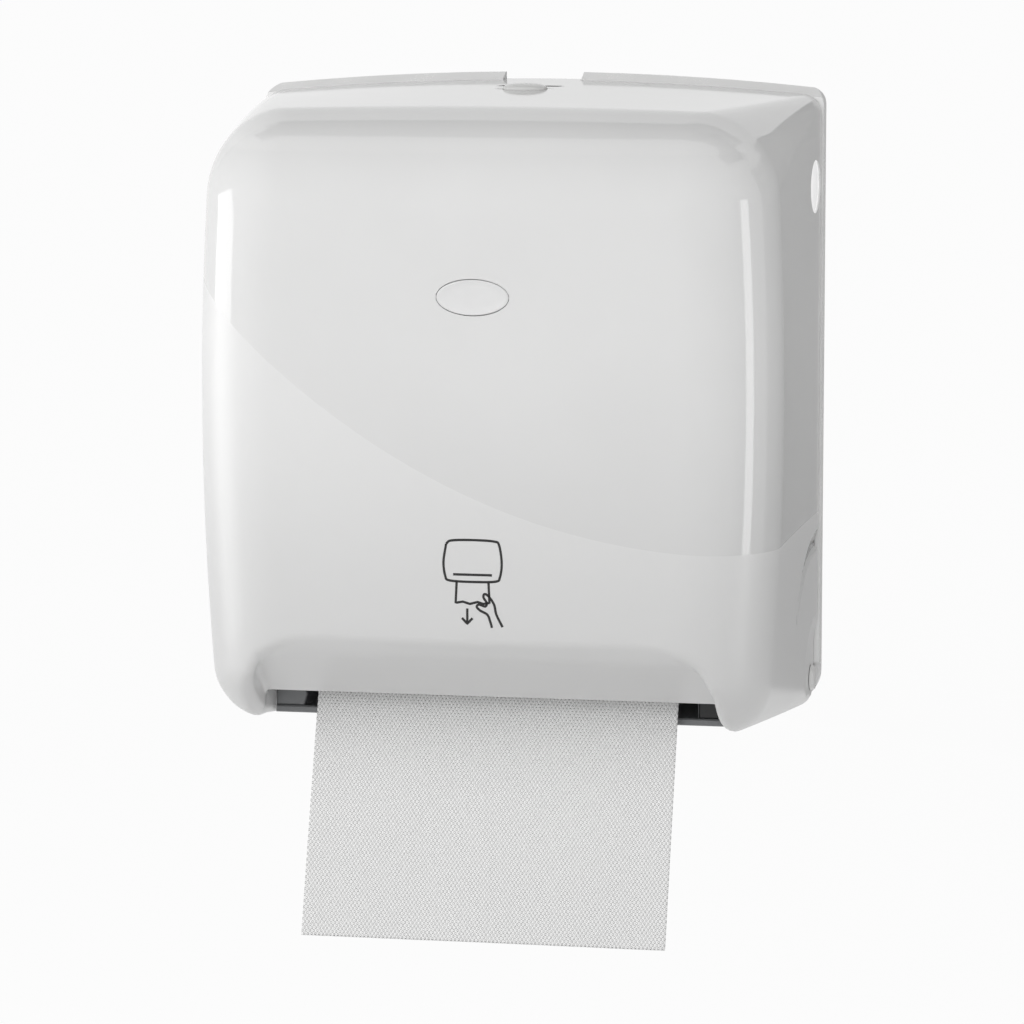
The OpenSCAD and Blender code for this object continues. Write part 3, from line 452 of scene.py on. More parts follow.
def meshFrom(name, points, faces, normals=None):
    mesh = bpy.data.meshes.new(name)
    mesh.from_pydata(points.tolist(), [], [tuple(f) for f in faces])
    mesh.update()
    mesh.polygons.foreach_set("use_smooth", np.ones(len(mesh.polygons), bool))
    if normals is not None:
        mesh.normals_split_custom_set(normals)
    thing = bpy.data.objects.new(name, mesh)
    scene.collection.objects.link(thing)
    return thing


# quads between rings of n points each, turned inside out on request
def ringFaces(rings, n, first=0, flip=False):
    faces = []
    for k in range(rings - 1):
        for i in range(n):
            a, b = first + k * n + i, first + k * n + (i + 1) % n
            faces.append((a, a + n, b + n, b) if flip else (a, b, b + n, a + n))
    return faces


# gives an open skin a wall, with rims along its edges and exact normals on both sides
def thickSkin(name, points, faces, normals, wall):
    n = len(points)
    edges = np.concatenate([faces[:, [0, 1]], faces[:, [1, 2]], faces[:, [2, 0]]])
    keys = np.sort(edges, 1) @ np.array([n, 1])
    found, where, times = np.unique(keys, return_index=True, return_counts=True)
    open_ = edges[where[times == 1]]
    both = np.concatenate([points, points - normals * wall])
    rims = np.stack([open_[:, 1], open_[:, 0], open_[:, 0] + n, open_[:, 1] + n], 1)
    allFaces = faces.tolist() + (faces[:, ::-1] + n).tolist() + rims.tolist()
    rimNormals = np.cross(both[rims[:, 1]] - both[rims[:, 0]], both[rims[:, 3]] - both[rims[:, 0]])
    rimNormals /= np.maximum(np.linalg.norm(rimNormals, axis=1), 1e-9)[:, None]
    loops = np.concatenate([normals[faces.ravel()], -normals[faces[:, ::-1].ravel()], np.repeat(rimNormals, 4, 0)])
    return meshFrom(name, both * mm, allFaces, loops)


def makeCover():
    points, quads = skinOver(coverField, *(coverMesh[k] for k in ("low", "high", "step", "settle")))
    faces = np.concatenate([quads[:, [0, 1, 2]], quads[:, [0, 2, 3]]])
    points, faces = clipped(points, faces, coverKept(points.T))
    normals = slopeOf(coverField, points)
    normals /= np.maximum(np.linalg.norm(normals, axis=1), 1e-9)[:, None]
    cover = thickSkin("coverSkin", points, faces, normals, coverMesh["wall"])
    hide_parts("front_cover")
    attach(cover, "cover")
    print("cover skin,", len(faces), "faces a side")
    return cover


# gloss above a sweeping line, satin below it painted a little lighter as painted reflection, painted shade darkening
# the lower cover, a slot painted near black as painted shade, a polished groove painted darker as painted shade,
# hollows by the button
coverLook = {"upper": (0.80, 0.80, 0.797), "lower": (0.84, 0.84, 0.837), "slotPaintedShade": 0.02, "paintedGrooveShade": 0.5,
    "low": 0.81, "paintedShadeZ": (-0.15, 0.06), "gloss": 0.07, "satin": 0.34, "lineZ": -0.070, "lineX": 0.150,
    "bend": 1.20, "rise": 0.94, "soft": 0.0004,
    "buttonY": -0.066, "hollow": (0.0185, 0.0065), "topZ": 0.15, "topSoft": 0.01, "sideX": (0.145, 0.15),
    "cloudy": 0.98, "relief": 0.0012}


def coverFinish(look):
    finish = Finish("coverGloss", IOR=1.5)
    x, y, z = finish.parts(finish.place)
    run = (look["lineX"] - x).atLeast(0.0)
    line = look["lineZ"] + run * run * (look["bend"] + run * look["rise"])
    upper = (z - line).ease(-look["soft"], look["soft"])
    cloud = finish.noise(9.0, 2.0)
    fine = finish.noise(1500.0, 2.0)
    onTop = z.ease(look["topZ"], look["topZ"] + look["topSoft"])
    wide, deep = look["hollow"]
    hollow = ((x / wide) ** 2.0 + ((y - look["buttonY"]) / deep) ** 2.0).ease(0.35, 1.0)
    sd, sw, sl = (v * mm for v in coverCuts["slot"])
    slot = (abs(y + sd) / sw).atLeast(abs(x) / sl)
    slot = (1 - slot.ease(1.06, 1.1)) * onTop
    my, mz = recess["mid"]
    far, near = (((((y - my * mm) / (a * mm)) ** 2.0) + (((z - mz * mm) / (b * mm)) ** 2.0)) ** 0.5
        for a, b in (recess["outer"], recess["inner"]))
    low, high = (v * mm for v in recess["fade"])
    groove = (1 - far.ease(0.985, 1.0)) * near.ease(0.98, 1.0) * z.ease(low, high) * abs(x).ease(*look["sideX"])
    polish = upper.atLeast(groove)
    # painted reflection: the satin field below the line is painted a little lighter than the gloss field above it
    white = finish.mix(upper, shade(look["lower"], 1.0), shade(look["upper"], 1.0))
    clouded = finish.mix(upper, shade(look["lower"], look["cloudy"]), shade(look["upper"], look["cloudy"]))
    white = finish.mix(cloud.ease(0.35, 0.65), clouded, white)
    # painted shade: the cover's colour is darkened towards the bottom of the cover
    paintedShadeTone = finish.mix(upper, shade(look["lower"], look["low"]), shade(look["upper"], look["low"]))
    white = finish.mix(z.ease(*look["paintedShadeZ"]), paintedShadeTone, white)
    # painted shade: the crescent groove is painted darker, standing for the shade on its down-facing band
    white = finish.mix(groove, white, shade(look["lower"], look["paintedGrooveShade"]))
    # painted shade: the slot walls are painted near black for the shade inside the narrow slot
    finish.set(Base_Color=finish.mix(slot, white, shade(look["lower"], look["slotPaintedShade"])))
    uneven = 0.05 * (fine - 0.5) * (1 - upper)
    finish.set(Roughness=look["satin"] + polish * (look["gloss"] - look["satin"]) + uneven)
    finish.bump(fine * (1 - upper) * 0.02 + hollow * onTop, look["relief"])
    return finish.material


cover = makeCover()
cover.data.materials.append(coverFinish(coverLook))

# screw bosses under the cover top that carry the lock
bossLook = {"x": 21.0, "y": (-38.0, -88.0), "foot": 169.5, "r": 4.0, "bore": 2.4, "drilled": 5, "bevel": 0.3,
    "sunk": 1.2, "turns": 24}


def makeBosses(look):
    turn = np.linspace(0, 2 * math.pi, look["turns"] + 1)[:-1]
    n = len(turn)
    points, faces = [], []
    r0, foot, bore, bevel = (look[k] for k in ("r", "foot", "bore", "bevel"))
    for side in (-1, 1):
        for y in look["y"]:
            head = coverShape["top"] - coverShape["lip"] + coverShape["topSlope"] * y - look["sunk"]
            rings = [(r0 - bore, foot + look["drilled"]), (r0 - bore, foot), (r0 - bevel, foot), (r0, foot + bevel),
                (r0, head - 1.6), (r0 + 1.2, head)]
            for r, z in rings:
                points += [(side * look["x"] + r * math.cos(a), y + r * math.sin(a), z) for a in turn]
            first = len(points) - len(rings) * len(turn)
            faces += ringFaces(len(rings), n, first)
            faces.append(tuple(first + i for i in range(n)))
            faces.append(tuple(first + (len(rings) - 1) * n + i for i in range(n))[::-1])
    bosses = meshFrom("coverBosses", np.array(points) * mm, faces)
    bosses.data.materials.append(mouldedFinish("bossWhite", (0.78, 0.78, 0.77), 0.4))
    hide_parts("front_cover")
    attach(bosses, "cover")


makeBosses(bossLook)


# depth of the cover front at places given by x and z, found by halving
frontSearch = {"near": -226.0, "far": -190.0, "rounds": 32}


def frontOf(x, z):
    near, far = (np.full(len(x), frontSearch[k]) for k in ("near", "far"))
    for k in range(frontSearch["rounds"]):
        mid = (near + far) / 2
        outside = coverField((x, mid, z)) > 0
        near, far = np.where(outside, mid, near), np.where(outside, far, mid)
    return near


def curved(points, steps=10):
    points = np.array(points, float)
    ends = np.concatenate([[2 * points[0] - points[1]], points, [2 * points[-1] - points[-2]]])
    line = []
    for k in range(1, len(ends) - 2):
        p0, p1, p2, p3 = ends[k - 1:k + 3]
        for t in np.linspace(0, 1, steps, endpoint=False):
            line.append(0.5 * (2 * p1 + (p2 - p0) * t + (2 * p0 - 5 * p1 + 4 * p2 - p3) * t * t
                + (3 * p1 - p0 - 3 * p2 + p3) * t ** 3))
    return np.array(line + [points[-1]])


# line drawing of a hand that draws a towel down, in millimetres from its middle
sign = {"mid": (0.0, -87.5), "line": 1.35, "proud": 0.08,
    "case": [(-15, 22), (-16.5, 12), (-15.5, 4), (-13, 1.5), (0, 1), (13, 1.5), (15.5, 4), (16.5, 12), (15, 22),
        (12, 24), (0, 24.5), (-12, 24), (-15, 22)],
    "mouth": [(-11, 5), (11, 5)],
    "sheet": [(-9, 1.2), (-9.6, -11), (-5.5, -10.2), (-1.5, -11.4), (2.8, -10.2), (6, -11.2), (9.6, -10.6), (9, 1.2)],
    "hand": [(17, -24), (13.5, -17), (12.2, -11.5), (9.2, -7), (6.8, -5.6), (6.2, -7.6), (8, -10.5), (7.2, -12.6),
        (3.6, -11.6), (2.4, -13), (4.4, -15), (8.4, -17.2), (10, -21), (11, -24.5)],
    "arrow": [(-3, -14), (-3, -22)], "head": [(-6, -19.4), (-3, -22.6), (0, -19.4)],
    "smooth": ("case", "hand")}


def makeSign(look):
    points, faces = [], []
    for key in ("case", "mouth", "sheet", "hand", "arrow", "head"):
        line = np.array(look[key], float)
        if key in look["smooth"]:
            line = curved(line, 6)
        else:
            runs = [np.linspace(a, b, 6, endpoint=False) for a, b in zip(line[:-1], line[1:])]
            line = np.concatenate(runs + [line[-1:]])
        ahead = np.gradient(line, axis=0)
        ahead /= np.linalg.norm(ahead, axis=1)[:, None]
        side = np.stack([-ahead[:, 1], ahead[:, 0]], 1) * look["line"] / 2
        line = line + np.array(look["mid"])
        first, n = len(points), len(line)
        for edge in (line + side, line - side):
            depth = frontOf(edge[:, 0], edge[:, 1])
            for lift in (look["proud"], -0.1):
                points += np.stack([edge[:, 0], depth - lift, edge[:, 1]], 1).tolist()
        for i in range(n - 1):
            a, b, c, d = (first + k * n + i for k in range(4))
            faces += [(a, a + 1, c + 1, c), (b, d, d + 1, b + 1), (a, b, b + 1, a + 1), (c, c + 1, d + 1, d)]
        for i, flip in ((0, False), (n - 1, True)):
            end = tuple(first + k * n + i for k in (0, 2, 3, 1))
            faces.append(end[::-1] if flip else end)
    drawing = meshFrom("pullSign", np.array(points) * mm, faces)
    finish = Finish("signInk", IOR=1.45)
    speck = finish.noise(2200.0, 2.0)
    finish.set(Base_Color=finish.mix(speck, tint(0.012), tint(0.022)), Roughness=0.42 + 0.1 * speck)
    drawing.data.materials.append(finish.material)
    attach(drawing, "cover")
    print("sign drawn,", len(faces), "faces")


makeSign(sign)

# push button: a domed oval on a round stem
buttonShape = {"mid": (0.0, -66.0, 179.87), "half": (13.0, 11.0), "stem": (5.0, 165.0),
    "rings": [(1.0, -3.0), (1.0, 0.35), (0.992, 0.7), (0.965, 1.15), (0.915, 1.65), (0.83, 2.15), (0.71, 2.6),
        (0.55, 2.95), (0.36, 3.17), (0.16, 3.28)]}


def makeButton(look):
    x0, y0, z0 = look["mid"]
    a, b = look["half"]
    r, foot = look["stem"]
    turn = np.linspace(0, 2 * math.pi, 73)[:-1]
    rings = [(r - 0.4, r - 0.4, foot), (r, r, foot + 0.4), (r, r, z0 - 4), (r + 1, r + 1, z0 - 3),
        (a - 0.5, b - 0.5, z0 - 3)]
    rings += [(a * k, b * k, z0 + h) for k, h in look["rings"]]
    points = [(x0 + ra * math.cos(t), y0 + rb * math.sin(t), z) for ra, rb, z in rings for t in turn]
    n = len(turn)
    faces = ringFaces(len(rings), n)
    faces.append(tuple(range(n))[::-1])
    faces.append(tuple((len(rings) - 1) * n + i for i in range(n)))
    button = meshFrom("lockButtonDome", np.array(points) * mm, faces)
    button.data.materials.append(mouldedFinish("buttonWhite", (0.76, 0.76, 0.75), 0.26))
    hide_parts("lock_button")
    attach(button, "button")


makeButton(buttonShape)

# level windows: domed oval lenses in the sides
lens = {"mid": (33.0, 123.0), "half": (17.8, 15.3), "inner": 162.3, "edge": 165.2, "rise": 0.9,
    "rings": (1.0, 0.985, 0.95, 0.88, 0.76, 0.6, 0.4, 0.2)}


def makeWindows(look):
    points, faces = [], []
    d0, z0 = look["mid"]
    a, b = look["half"]
    turn = np.linspace(0, 2 * math.pi, 61)[:-1]
    n = len(turn)
    for side in (-1, 1):
        first = len(points)
        levels = [(1.0, look["inner"])]
        levels += [(k, look["edge"] + look["rise"] * (1 - k * k) ** 0.5) for k in look["rings"]]
        for k, x in levels:
            points += [(side * x, -d0 + a * k * math.cos(t), z0 + b * k * math.sin(t)) for t in turn]
        faces += [quad if side > 0 else quad[::-1] for quad in ringFaces(len(levels), n, first)]
        for k in (0, len(levels) - 1):
            cap = tuple(first + k * n + i for i in range(n))
            faces.append(cap if (k > 0) == (side > 0) else cap[::-1])
    windows = meshFrom("levelLenses", np.array(points) * mm, faces)
    # painted light: the lenses glow by emission so they look brightly lit
    finish = Finish("lensPaintedGlow", IOR=1.5, Coat_Weight=0.5, Emission_Color=tint(0.9), Emission_Strength=0.55)
    cloud = finish.noise(60.0, 2.0)
    fine = finish.noise(1800.0, 2.0)
    finish.set(Base_Color=finish.mix(cloud, tint(0.86), tint(0.9)), Roughness=0.1 + 0.04 * fine)
    finish.bump(fine, 0.000008)
    windows.data.materials.append(finish.material)
    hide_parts("level_windows")
    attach(windows, "cover")


makeWindows(lens)

# bare badge: an oval plate with a rounded rim, laid on the front
badge = {"mid": 72.0, "half": (20.4, 9.9),
    "rings": ((1.0, -1.4), (1.0, -0.25), (0.99, 0.1), (0.965, 0.32), (0.93, 0.38), (0.89, 0.25), (0.86, 0.12),
        (0.6, 0.14), (0.3, 0.16))}


def makeBadge(look):
    turn = np.linspace(0, 2 * math.pi, 97)[:-1]
    a, b = look["half"]
    points = []
    for k, lift in look["rings"]:
        x, z = a * k * np.cos(turn), look["mid"] + b * k * np.sin(turn)
        points += np.stack([x, frontOf(x, z) - lift, z], 1).tolist()
    n, m = len(turn), len(look["rings"])
    faces = ringFaces(m, n)
    faces += [tuple(range(n))[::-1], tuple((m - 1) * n + i for i in range(n))]
    plate = meshFrom("badgeOval", np.array(points) * mm, faces)
    plate.data.materials.append(mouldedFinish("badgeWhite", (0.80, 0.80, 0.80), 0.2))
    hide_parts("badge_plate")
    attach(plate, "cover")


makeBadge(badge)
print("button, windows, badge and bosses made")

# the towel: a web from roll to drum, then a tail that hangs out of the case
towelPath = {"webStart": (-47.036, -12.257), "nip": (-113.682, -74.232), "leave": (-124.435, -90.766),
    "end": (-195.448, -297.0), "drum": (-86.0, -104.0), "halfWidth": 105.0, "thick": 0.35, "waves": 0.9}
towelLook = {"white": (0.95, 0.95, 0.945), "pitchAcross": 0.0022, "pitchAlong": 0.0034, "paintedDotShade": 0.90, "light": 1.05,
    "relief": 0.0010, "glow": 0.07}


def towelFinish(look, along):
    # painted light: the tissue glows faintly by emission to look brighter
    finish = Finish("embossedTissue", Sheen_Weight=0.15, Sheen_Roughness=0.5, Emission_Color=tint(0.95),
        Emission_Strength=look["glow"])
    x, y, z = finish.parts(finish.place)
    run = (y * along[0] + z * along[1]) / look["pitchAlong"]
    across = x / look["pitchAcross"]
    turn = 2 * math.pi
    dots = (across * turn).cos() * (run * turn).cos()
    fibre = finish.noise(1400.0, 4.0, 0.65)
    lined = finish.add("ShaderNodeMapping", {}, finish.place, Scale=(1.0, 0.12, 0.12))
    crease = finish.noise(55.0, 3.0, 0.5, lined)
    dent = dots.ease(0.0, 0.85)
    # painted shade and highlight: the emboss dots are painted lighter and the gaps between them darker, on top of their
    # bump
    finish.set(Base_Color=finish.mix(dent, shade(look["white"], look["paintedDotShade"]), shade(look["white"], look["light"])))
    finish.set(Roughness=0.86 + 0.1 * (fibre - 0.5))
    finish.bump(dent + fibre * 0.2 + crease * 0.6, look["relief"])
    return finish.material


def sheetFrom(name, line, halfWidth, thick, columns, wave):
    line = np.array(line)
    ahead = np.gradient(line, axis=0)
    ahead /= np.linalg.norm(ahead, axis=1)[:, None]
    side = np.stack([ahead[:, 1], -ahead[:, 0]], 1)
    xs = np.linspace(-halfWidth, halfWidth, columns)
    rows = len(line)
    length = np.concatenate([[0], np.cumsum(np.linalg.norm(np.diff(line, axis=0), axis=1))])
    layers = []
    for face in (0.5, -0.5):
        move = wave(xs[None, :], length[:, None]) + face * thick
        yz = line[:, None, :] + side[:, None, :] * move[:, :, None]
        spread = np.broadcast_to(xs[None, :, None], (rows, columns, 1))
        layers.append(np.concatenate([spread, yz], 2).reshape(-1, 3))
    n = rows * columns
    grid = np.arange(n).reshape(rows, columns)
    quads = np.stack([grid[:-1, :-1], grid[:-1, 1:], grid[1:, 1:], grid[1:, :-1]], -1).reshape(-1, 4)
    border = np.concatenate([grid[0, :-1], grid[:-1, -1], grid[-1, :0:-1], grid[:0:-1, 0]])
    after = np.roll(border, -1)
    rims = np.stack([after, border, border + n, after + n], 1)
    points = np.concatenate(layers) * mm
    return meshFrom(name, points, quads.tolist() + (quads[:, ::-1] + n).tolist() + rims.tolist()), length[-1]


def makeTowel():
    p = towelPath
    drum = np.array(p["drum"])
    nip, leave, start, end = (np.array(p[k]) for k in ("nip", "leave", "webStart", "end"))
    first, last = (math.atan2(*(q - drum)[::-1]) for q in (nip, leave))
    last += 2 * math.pi * (last < first - math.pi) - 2 * math.pi * (last > first + math.pi)
    radius = np.linalg.norm(nip - drum)
    web = [start + (nip - start) * t for t in np.linspace(0, 1, 40)]
    wrap = [drum + radius * np.array([math.cos(a), math.sin(a)]) for a in np.linspace(first, last, 14)[1:]]
    tail = [leave + (end - leave) * t for t in np.linspace(0, 1, 121)]

    def still(x, s):
        return 0 * x * s

    def loose(x, s):
        free = ease(70, 200, s)
        folds = np.sin(x / 23 + 0.6) * 0.5 + np.sin(x / 9.5 + s / 90) * 0.22 + np.sin(x / 41 - s / 60) * 0.7
        return p["waves"] * free * folds

    pieces = []
    for name, line, wave, columns in (("towelWeb", web + wrap, still, 36), ("towelTail", tail, loose, 141)):
        piece, length = sheetFrom(name, line, p["halfWidth"], p["thick"], columns, wave)
        ahead = np.array(line[-1]) - np.array(line[0])
        ahead /= np.linalg.norm(ahead)
        piece.data.materials.append(towelFinish(towelLook, ahead))
        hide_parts("towel_sheet")
        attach(piece, "wall_unit")
        pieces.append(piece)
    print("towel, web and tail")
    return pieces


towelTail = makeTowel()[1]
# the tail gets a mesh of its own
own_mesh(towelTail)

# the loaded roll: wound layers that show on its ends
rollShape = {"axis": (-104.0, 49.0), "r": 83.0, "bore": 21.0, "half": 105.0, "layers": 44, "uneven": 0.35, "turns": 160}


def makeRoll(look):
    draw = np.random.default_rng(7)
    radii = np.linspace(look["bore"], look["r"] - 0.4, look["layers"])
    ends = look["half"] - 0.15 - look["uneven"] * draw.random((2, look["layers"]))
    right = [(r, x) for r, x in zip(radii, ends[0])]
    left = [(r, -x) for r, x in zip(radii, ends[1])]
    outer = [(look["r"] - 0.1, x) for x in np.linspace(look["half"] - 0.5, -look["half"] + 0.5, 30)]
    profile = right + outer + left[::-1]
    turn = np.linspace(0, 2 * math.pi, look["turns"] + 1)[:-1]
    y0, z0 = look["axis"]
    points = []
    for r, x in profile:
        sway = 1 + 0.0006 * np.sin(3 * turn + x / 30) * (r / look["r"])
        ring = [np.full(len(turn), x), y0 + r * sway * np.cos(turn), z0 + r * sway * np.sin(turn)]
        points += np.stack(ring, 1).tolist()
    n, m = len(turn), len(profile)
    faces = [(k * n + i, k * n + (i + 1) % n, ((k + 1) % m) * n + (i + 1) % n, ((k + 1) % m) * n + i)
        for k in range(m) for i in range(n)]
    roll = meshFrom("woundRoll", np.array(points) * mm, faces)
    finish = Finish("woundTissue", Sheen_Weight=0.12, Sheen_Roughness=0.5)
    x, y, z = finish.parts(finish.place)
    far = ((y - y0 * mm) ** 2.0 + (z - z0 * mm) ** 2.0) ** 0.5
    rings = (far * (2 * math.pi / 0.0011)).sin()
    fibre = finish.noise(1200.0, 4.0, 0.65)
    cloud = finish.noise(22.0, 3.0)
    tone = rings.ease(-1.2, 1.2) * 0.5 + cloud * 0.5
    finish.set(Base_Color=finish.mix(tone, tint(0.76), tint(0.88)), Roughness=0.88 + 0.1 * (fibre - 0.5))
    finish.bump(fibre * 0.4 + rings * 0.3 + cloud, 0.0004)
    roll.data.materials.append(finish.material)
    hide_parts("paper_roll")
    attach(roll, "towel_roll")
    print("roll wound,", len(faces), "faces")


makeRoll(rollShape)

# springs of round wire, along the axis from their first point
springs = {
    "lockCoil": {"node": "lock_spring", "from": (0, -66, 152.2), "along": (0, 0, 1), "x": (1, 0, 0), "r": 5.0,
        "wire": 0.5, "pitch": 2.275, "turns": 4, "body": "cover"},
    "driveCoil": {"node": "drive_spring", "from": (-127.8, -76.1, -86.85), "along": (0, 0.4997, 0.8662), "x": (1, 0, 0),
        "r": 4.2, "wire": 0.7, "pitch": 2.277, "turns": 16, "body": "wall_unit"},
    "pinchCoilRight": {"node": "pinch_springs", "from": (109.2, -97, -45), "along": (-1, 0, 0), "x": (0, 0, 1),
        "r": 6.4, "wire": 0.5, "pitch": 1.6, "turns": 4, "body": "wall_unit"},
    "pinchCoilLeft": {"node": "pinch_springs", "from": (-109.2, -97, -45), "along": (1, 0, 0), "x": (0, 0, 1),
        "r": 6.4, "wire": 0.5, "pitch": 1.6, "turns": 4, "body": "wall_unit"}}


def makeSpring(name, look, steel):
    along, x = np.array(look["along"], float), np.array(look["x"], float)
    y = np.cross(along, x)
    around = np.linspace(0, 2 * math.pi, 13)[:-1]
    angle = np.linspace(0, 2 * math.pi * look["turns"], look["turns"] * 32 + 1)
    points = []
    for a in angle:
        out = x * math.cos(a) + y * math.sin(a)
        mid = np.array(look["from"]) + out * look["r"] + along * look["pitch"] * a / (2 * math.pi)
        points += [mid + look["wire"] * (out * math.cos(t) + along * math.sin(t)) for t in around]
    n = len(around)
    faces = ringFaces(len(angle), n, flip=True)
    faces.append(tuple(range(n)))
    faces.append(tuple((len(angle) - 1) * n + i for i in range(n))[::-1])
    spring = meshFrom(name, np.array(points) * mm, faces)
    spring.data.materials.append(steel)
    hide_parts(look["node"])
    return spring


def makeSprings():
    steel = steelFinish("drawnWire", (0.55, 0.56, 0.57), 0.3, (700, 700, 700))
    for name, look in springs.items():
        spring = makeSpring(name, look, steel)
        if name == "driveCoil":
            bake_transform(spring)
            continue
        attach(spring, look["body"])
        if name == "lockCoil":
            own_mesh(spring)
    print("springs wound")


makeSprings()

# grey bar under the outlet, with a cheek at each end; the right cheek is black as painted shade
outletTrim = {"barY": (-145.0, -141.3), "barZ": (-177.3, -173.2), "reach": 131.4, "round": 0.8,
    "left": [(-131.4, -173.4), (-115.0, -173.4), (-113.0, -166.5), (-115.0, -159.5), (-131.4, -159.5)],
    "right": [(115.6, -173.4), (131.4, -173.4), (131.4, -159.5), (115.6, -159.5)], "cheekY": (-143.5, -141.4)}


def slabFrom(name, outline, nearY, farY, inset):
    outline = np.array(outline, float)
    mid = outline.mean(0)
    span = np.abs(outline - mid).max(0)
    small = mid + (outline - mid) * (1 - inset / span)
    rings = [(small, farY), (outline, farY - inset), (outline, nearY + inset), (small, nearY)]
    n = len(outline)
    points = [(x, y, z) for ring, y in rings for x, z in ring]
    faces = ringFaces(len(rings), n, flip=True)
    faces += [tuple(range(n)), tuple((len(rings) - 1) * n + i for i in range(n))[::-1]]
    slab = meshFrom(name, np.array(points) * mm, faces)
    slab.data.polygons.foreach_set("use_smooth", np.zeros(len(faces), bool))
    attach(slab, "wall_unit")
    return slab


def makeOutletTrim(look):
    grey = mouldedFinish("outletGrey", (0.20, 0.205, 0.21), 0.3)
    # painted shade: the right cheek is near black, standing for the shade in the outlet beside the towel
    shadeBlack = mouldedFinish("outletShadeBlack", (0.012, 0.012, 0.013), 0.4)
    r, (z0, z1) = look["reach"], look["barZ"]
    bar = slabFrom("outletBar", [(-r, z0), (r, z0), (r, z1), (-r, z1)], *look["barY"], look["round"])
    left = slabFrom("outletCheekLeft", look["left"], *look["cheekY"], look["round"])
    right = slabFrom("outletCheekRight", look["right"], *look["cheekY"], look["round"])
    for piece, finish in ((bar, grey), (left, grey), (right, shadeBlack)):
        piece.data.materials.append(finish)
    print("outlet trim set")


makeOutletTrim(outletTrim)

# finishes of the nodes that keep their solids
plasticLooks = {
    "case_white": ((0.80, 0.80, 0.795), 0.16), "frame_grey": ((0.22, 0.225, 0.235), 0.45),
    "roll_arm": ((0.36, 0.37, 0.385), 0.42), "drum": ((0.10, 0.105, 0.115), 0.42),
    "acetal": ((0.66, 0.64, 0.56), 0.38), "feed_wheel": ((0.05, 0.16, 0.34), 0.35),
    "hinge_cap": ((0.76, 0.76, 0.75), 0.3), "core_board": ((0.38, 0.27, 0.17), 0.85),
    "latch_metal": ((0.30, 0.31, 0.32), 0.4)}


def dressNodes():
    finishes = {slot: mouldedFinish(slot + "Finish", rgb, rough) for slot, (rgb, rough) in plasticLooks.items()}
    finishes["grip_rubber"] = rubberFinish("gripRubber", (0.02, 0.02, 0.021))
    finishes["steel"] = steelFinish("platedSteel", (0.62, 0.63, 0.64), 0.28, (40, 900, 900))
    finishes["blade_steel"] = steelFinish("groundSteel", (0.66, 0.67, 0.69), 0.2, (30, 1600, 1600))
    finishes["back_plate"] = mouldedFinish("plateWhite", (0.92, 0.92, 0.915), 0.25)
    slots = {row["node"]: row["material_slot"] for row in frame["record"]["subparts"]}
    for name, node in frame["nodes"].items():
        node.data.materials.clear()
        finish = finishes.get(name, finishes.get(slots[name]))
        if finish:
            node.data.materials.append(finish)
    print("nodes dressed")


dressNodes()

# floor, world, lamps, and grey cards that the right side and the top reflect
studio = {"floorZ": -0.62, "floor": 0.92, "floorHalf": 200.0, "seen": 0.95, "world": 0.42}
lamps = {
    "frontFill": {"place": (-0.35, -1.5, 0.75), "aim": (0, -0.1, 0), "size": (2.05, 2.05), "power": 16, "roll": 0,
        "mirrored": False},
    "leftStrip": {"place": (-1.95, -0.25, -0.15), "aim": (-0.15, -0.15, 0), "size": (0.9, 1.2), "power": 10, "roll": 22,
        "mirrored": True},
    "rightStrip": {"place": (1.9, -0.5, -0.2), "aim": (0.1, -0.15, 0), "size": (0.36, 1.4), "power": 5.5, "roll": 0,
        "mirrored": True}}
cards = {
    "sideCard": {"corners": [(2.35, 0.6, -0.6), (-0.28, 2.4, -0.6), (-0.28, 2.4, 0.3), (2.35, 0.6, 1.6)], "grey": 0.6},
    "topCard": {"corners": [(-2, 0.9, 1.99), (2, 0.9, 1.99), (2, -0.33, 2.26), (-2, -0.33, 2.26)], "grey": 0.12}}


def isSeen(tree):
    rays = tree.nodes.new("ShaderNodeLightPath")
    total = rays.outputs["Is Camera Ray"]
    for name in ("Is Glossy Ray", "Is Transmission Ray"):
        node = tree.nodes.new("ShaderNodeMath")
        node.operation = "MAXIMUM"
        tree.links.new(total, node.inputs[0])
        tree.links.new(rays.outputs[name], node.inputs[1])
        total = node.outputs[0]
    return total


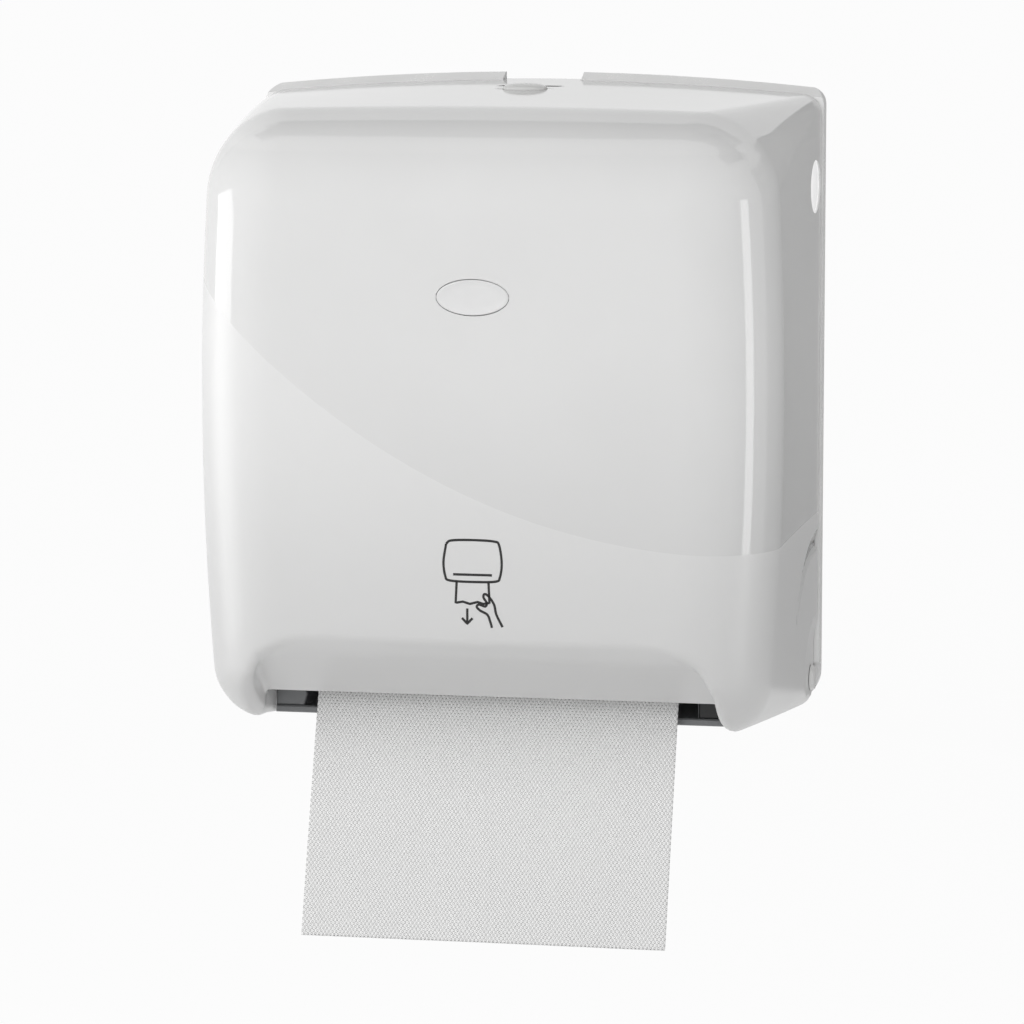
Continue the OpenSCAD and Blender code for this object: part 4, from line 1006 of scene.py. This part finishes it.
def makePanel(name, corners, finish):
    mesh = bpy.data.meshes.new(name)
    mesh.from_pydata(corners, [], [(0, 1, 2, 3)])
    mesh.materials.append(finish.material)
    panel = bpy.data.objects.new(name, mesh)
    scene.collection.objects.link(panel)
    return panel


def makeStudio():
    finish = Finish("paleFloor")
    speck = finish.noise(30.0, 3.0)
    finish.set(Base_Color=finish.mix(speck, tint(studio["floor"] * 0.99), tint(studio["floor"])))
    finish.set(Roughness=0.9 + 0 * speck)
    glow = finish.add("ShaderNodeEmission", {}, tint(1.0), 1.0)
    lit = finish.add("ShaderNodeMixShader", {}, Wire(finish, isSeen(finish.tree)) * studio["seen"],
        Wire(finish, finish.shader.outputs[0]), glow)
    finish.tree.links.new(lit.socket, finish.tree.nodes["Material Output"].inputs[0])
    r, z = studio["floorHalf"], studio["floorZ"]
    makePanel("studioFloor", [(-r, -r, z), (r, -r, z), (r, r, z), (-r, r, z)], finish)
    for name, look in cards.items():
        card = Finish(name)
        speck = card.noise(30.0, 3.0)
        card.set(Base_Color=card.mix(speck, tint(look["grey"] * 0.95), tint(look["grey"])))
        card.set(Roughness=0.9 + 0 * speck)
        makePanel(name, look["corners"], card).visible_camera = False
    world = bpy.data.worlds.new("studioWorld")
    world.use_nodes = True
    tree = world.node_tree
    back = tree.nodes["Background"]
    back.inputs[0].default_value = (1, 1, 1, 1)
    pick = tree.nodes.new("ShaderNodeMix")
    pick.inputs[2].default_value = studio["world"]
    pick.inputs[3].default_value = 1.0
    tree.links.new(isSeen(tree), pick.inputs[0])
    tree.links.new(pick.outputs[0], back.inputs[1])
    scene.world = world
    for name, lamp in lamps.items():
        light = bpy.data.lights.new(name, "AREA")
        light.shape = "RECTANGLE"
        light.size, light.size_y = lamp["size"]
        light.energy = lamp["power"]
        thing = bpy.data.objects.new(name, light)
        thing.location = lamp["place"]
        ahead = Vector(lamp["aim"]) - Vector(lamp["place"])
        thing.rotation_euler = ahead.to_track_quat("-Z", "Y").to_euler()
        thing.rotation_euler.rotate_axis("Z", math.radians(lamp["roll"]))
        thing.visible_camera = False
        thing.visible_glossy = lamp["mirrored"]
        scene.collection.objects.link(thing)
    print("studio set")


makeStudio()
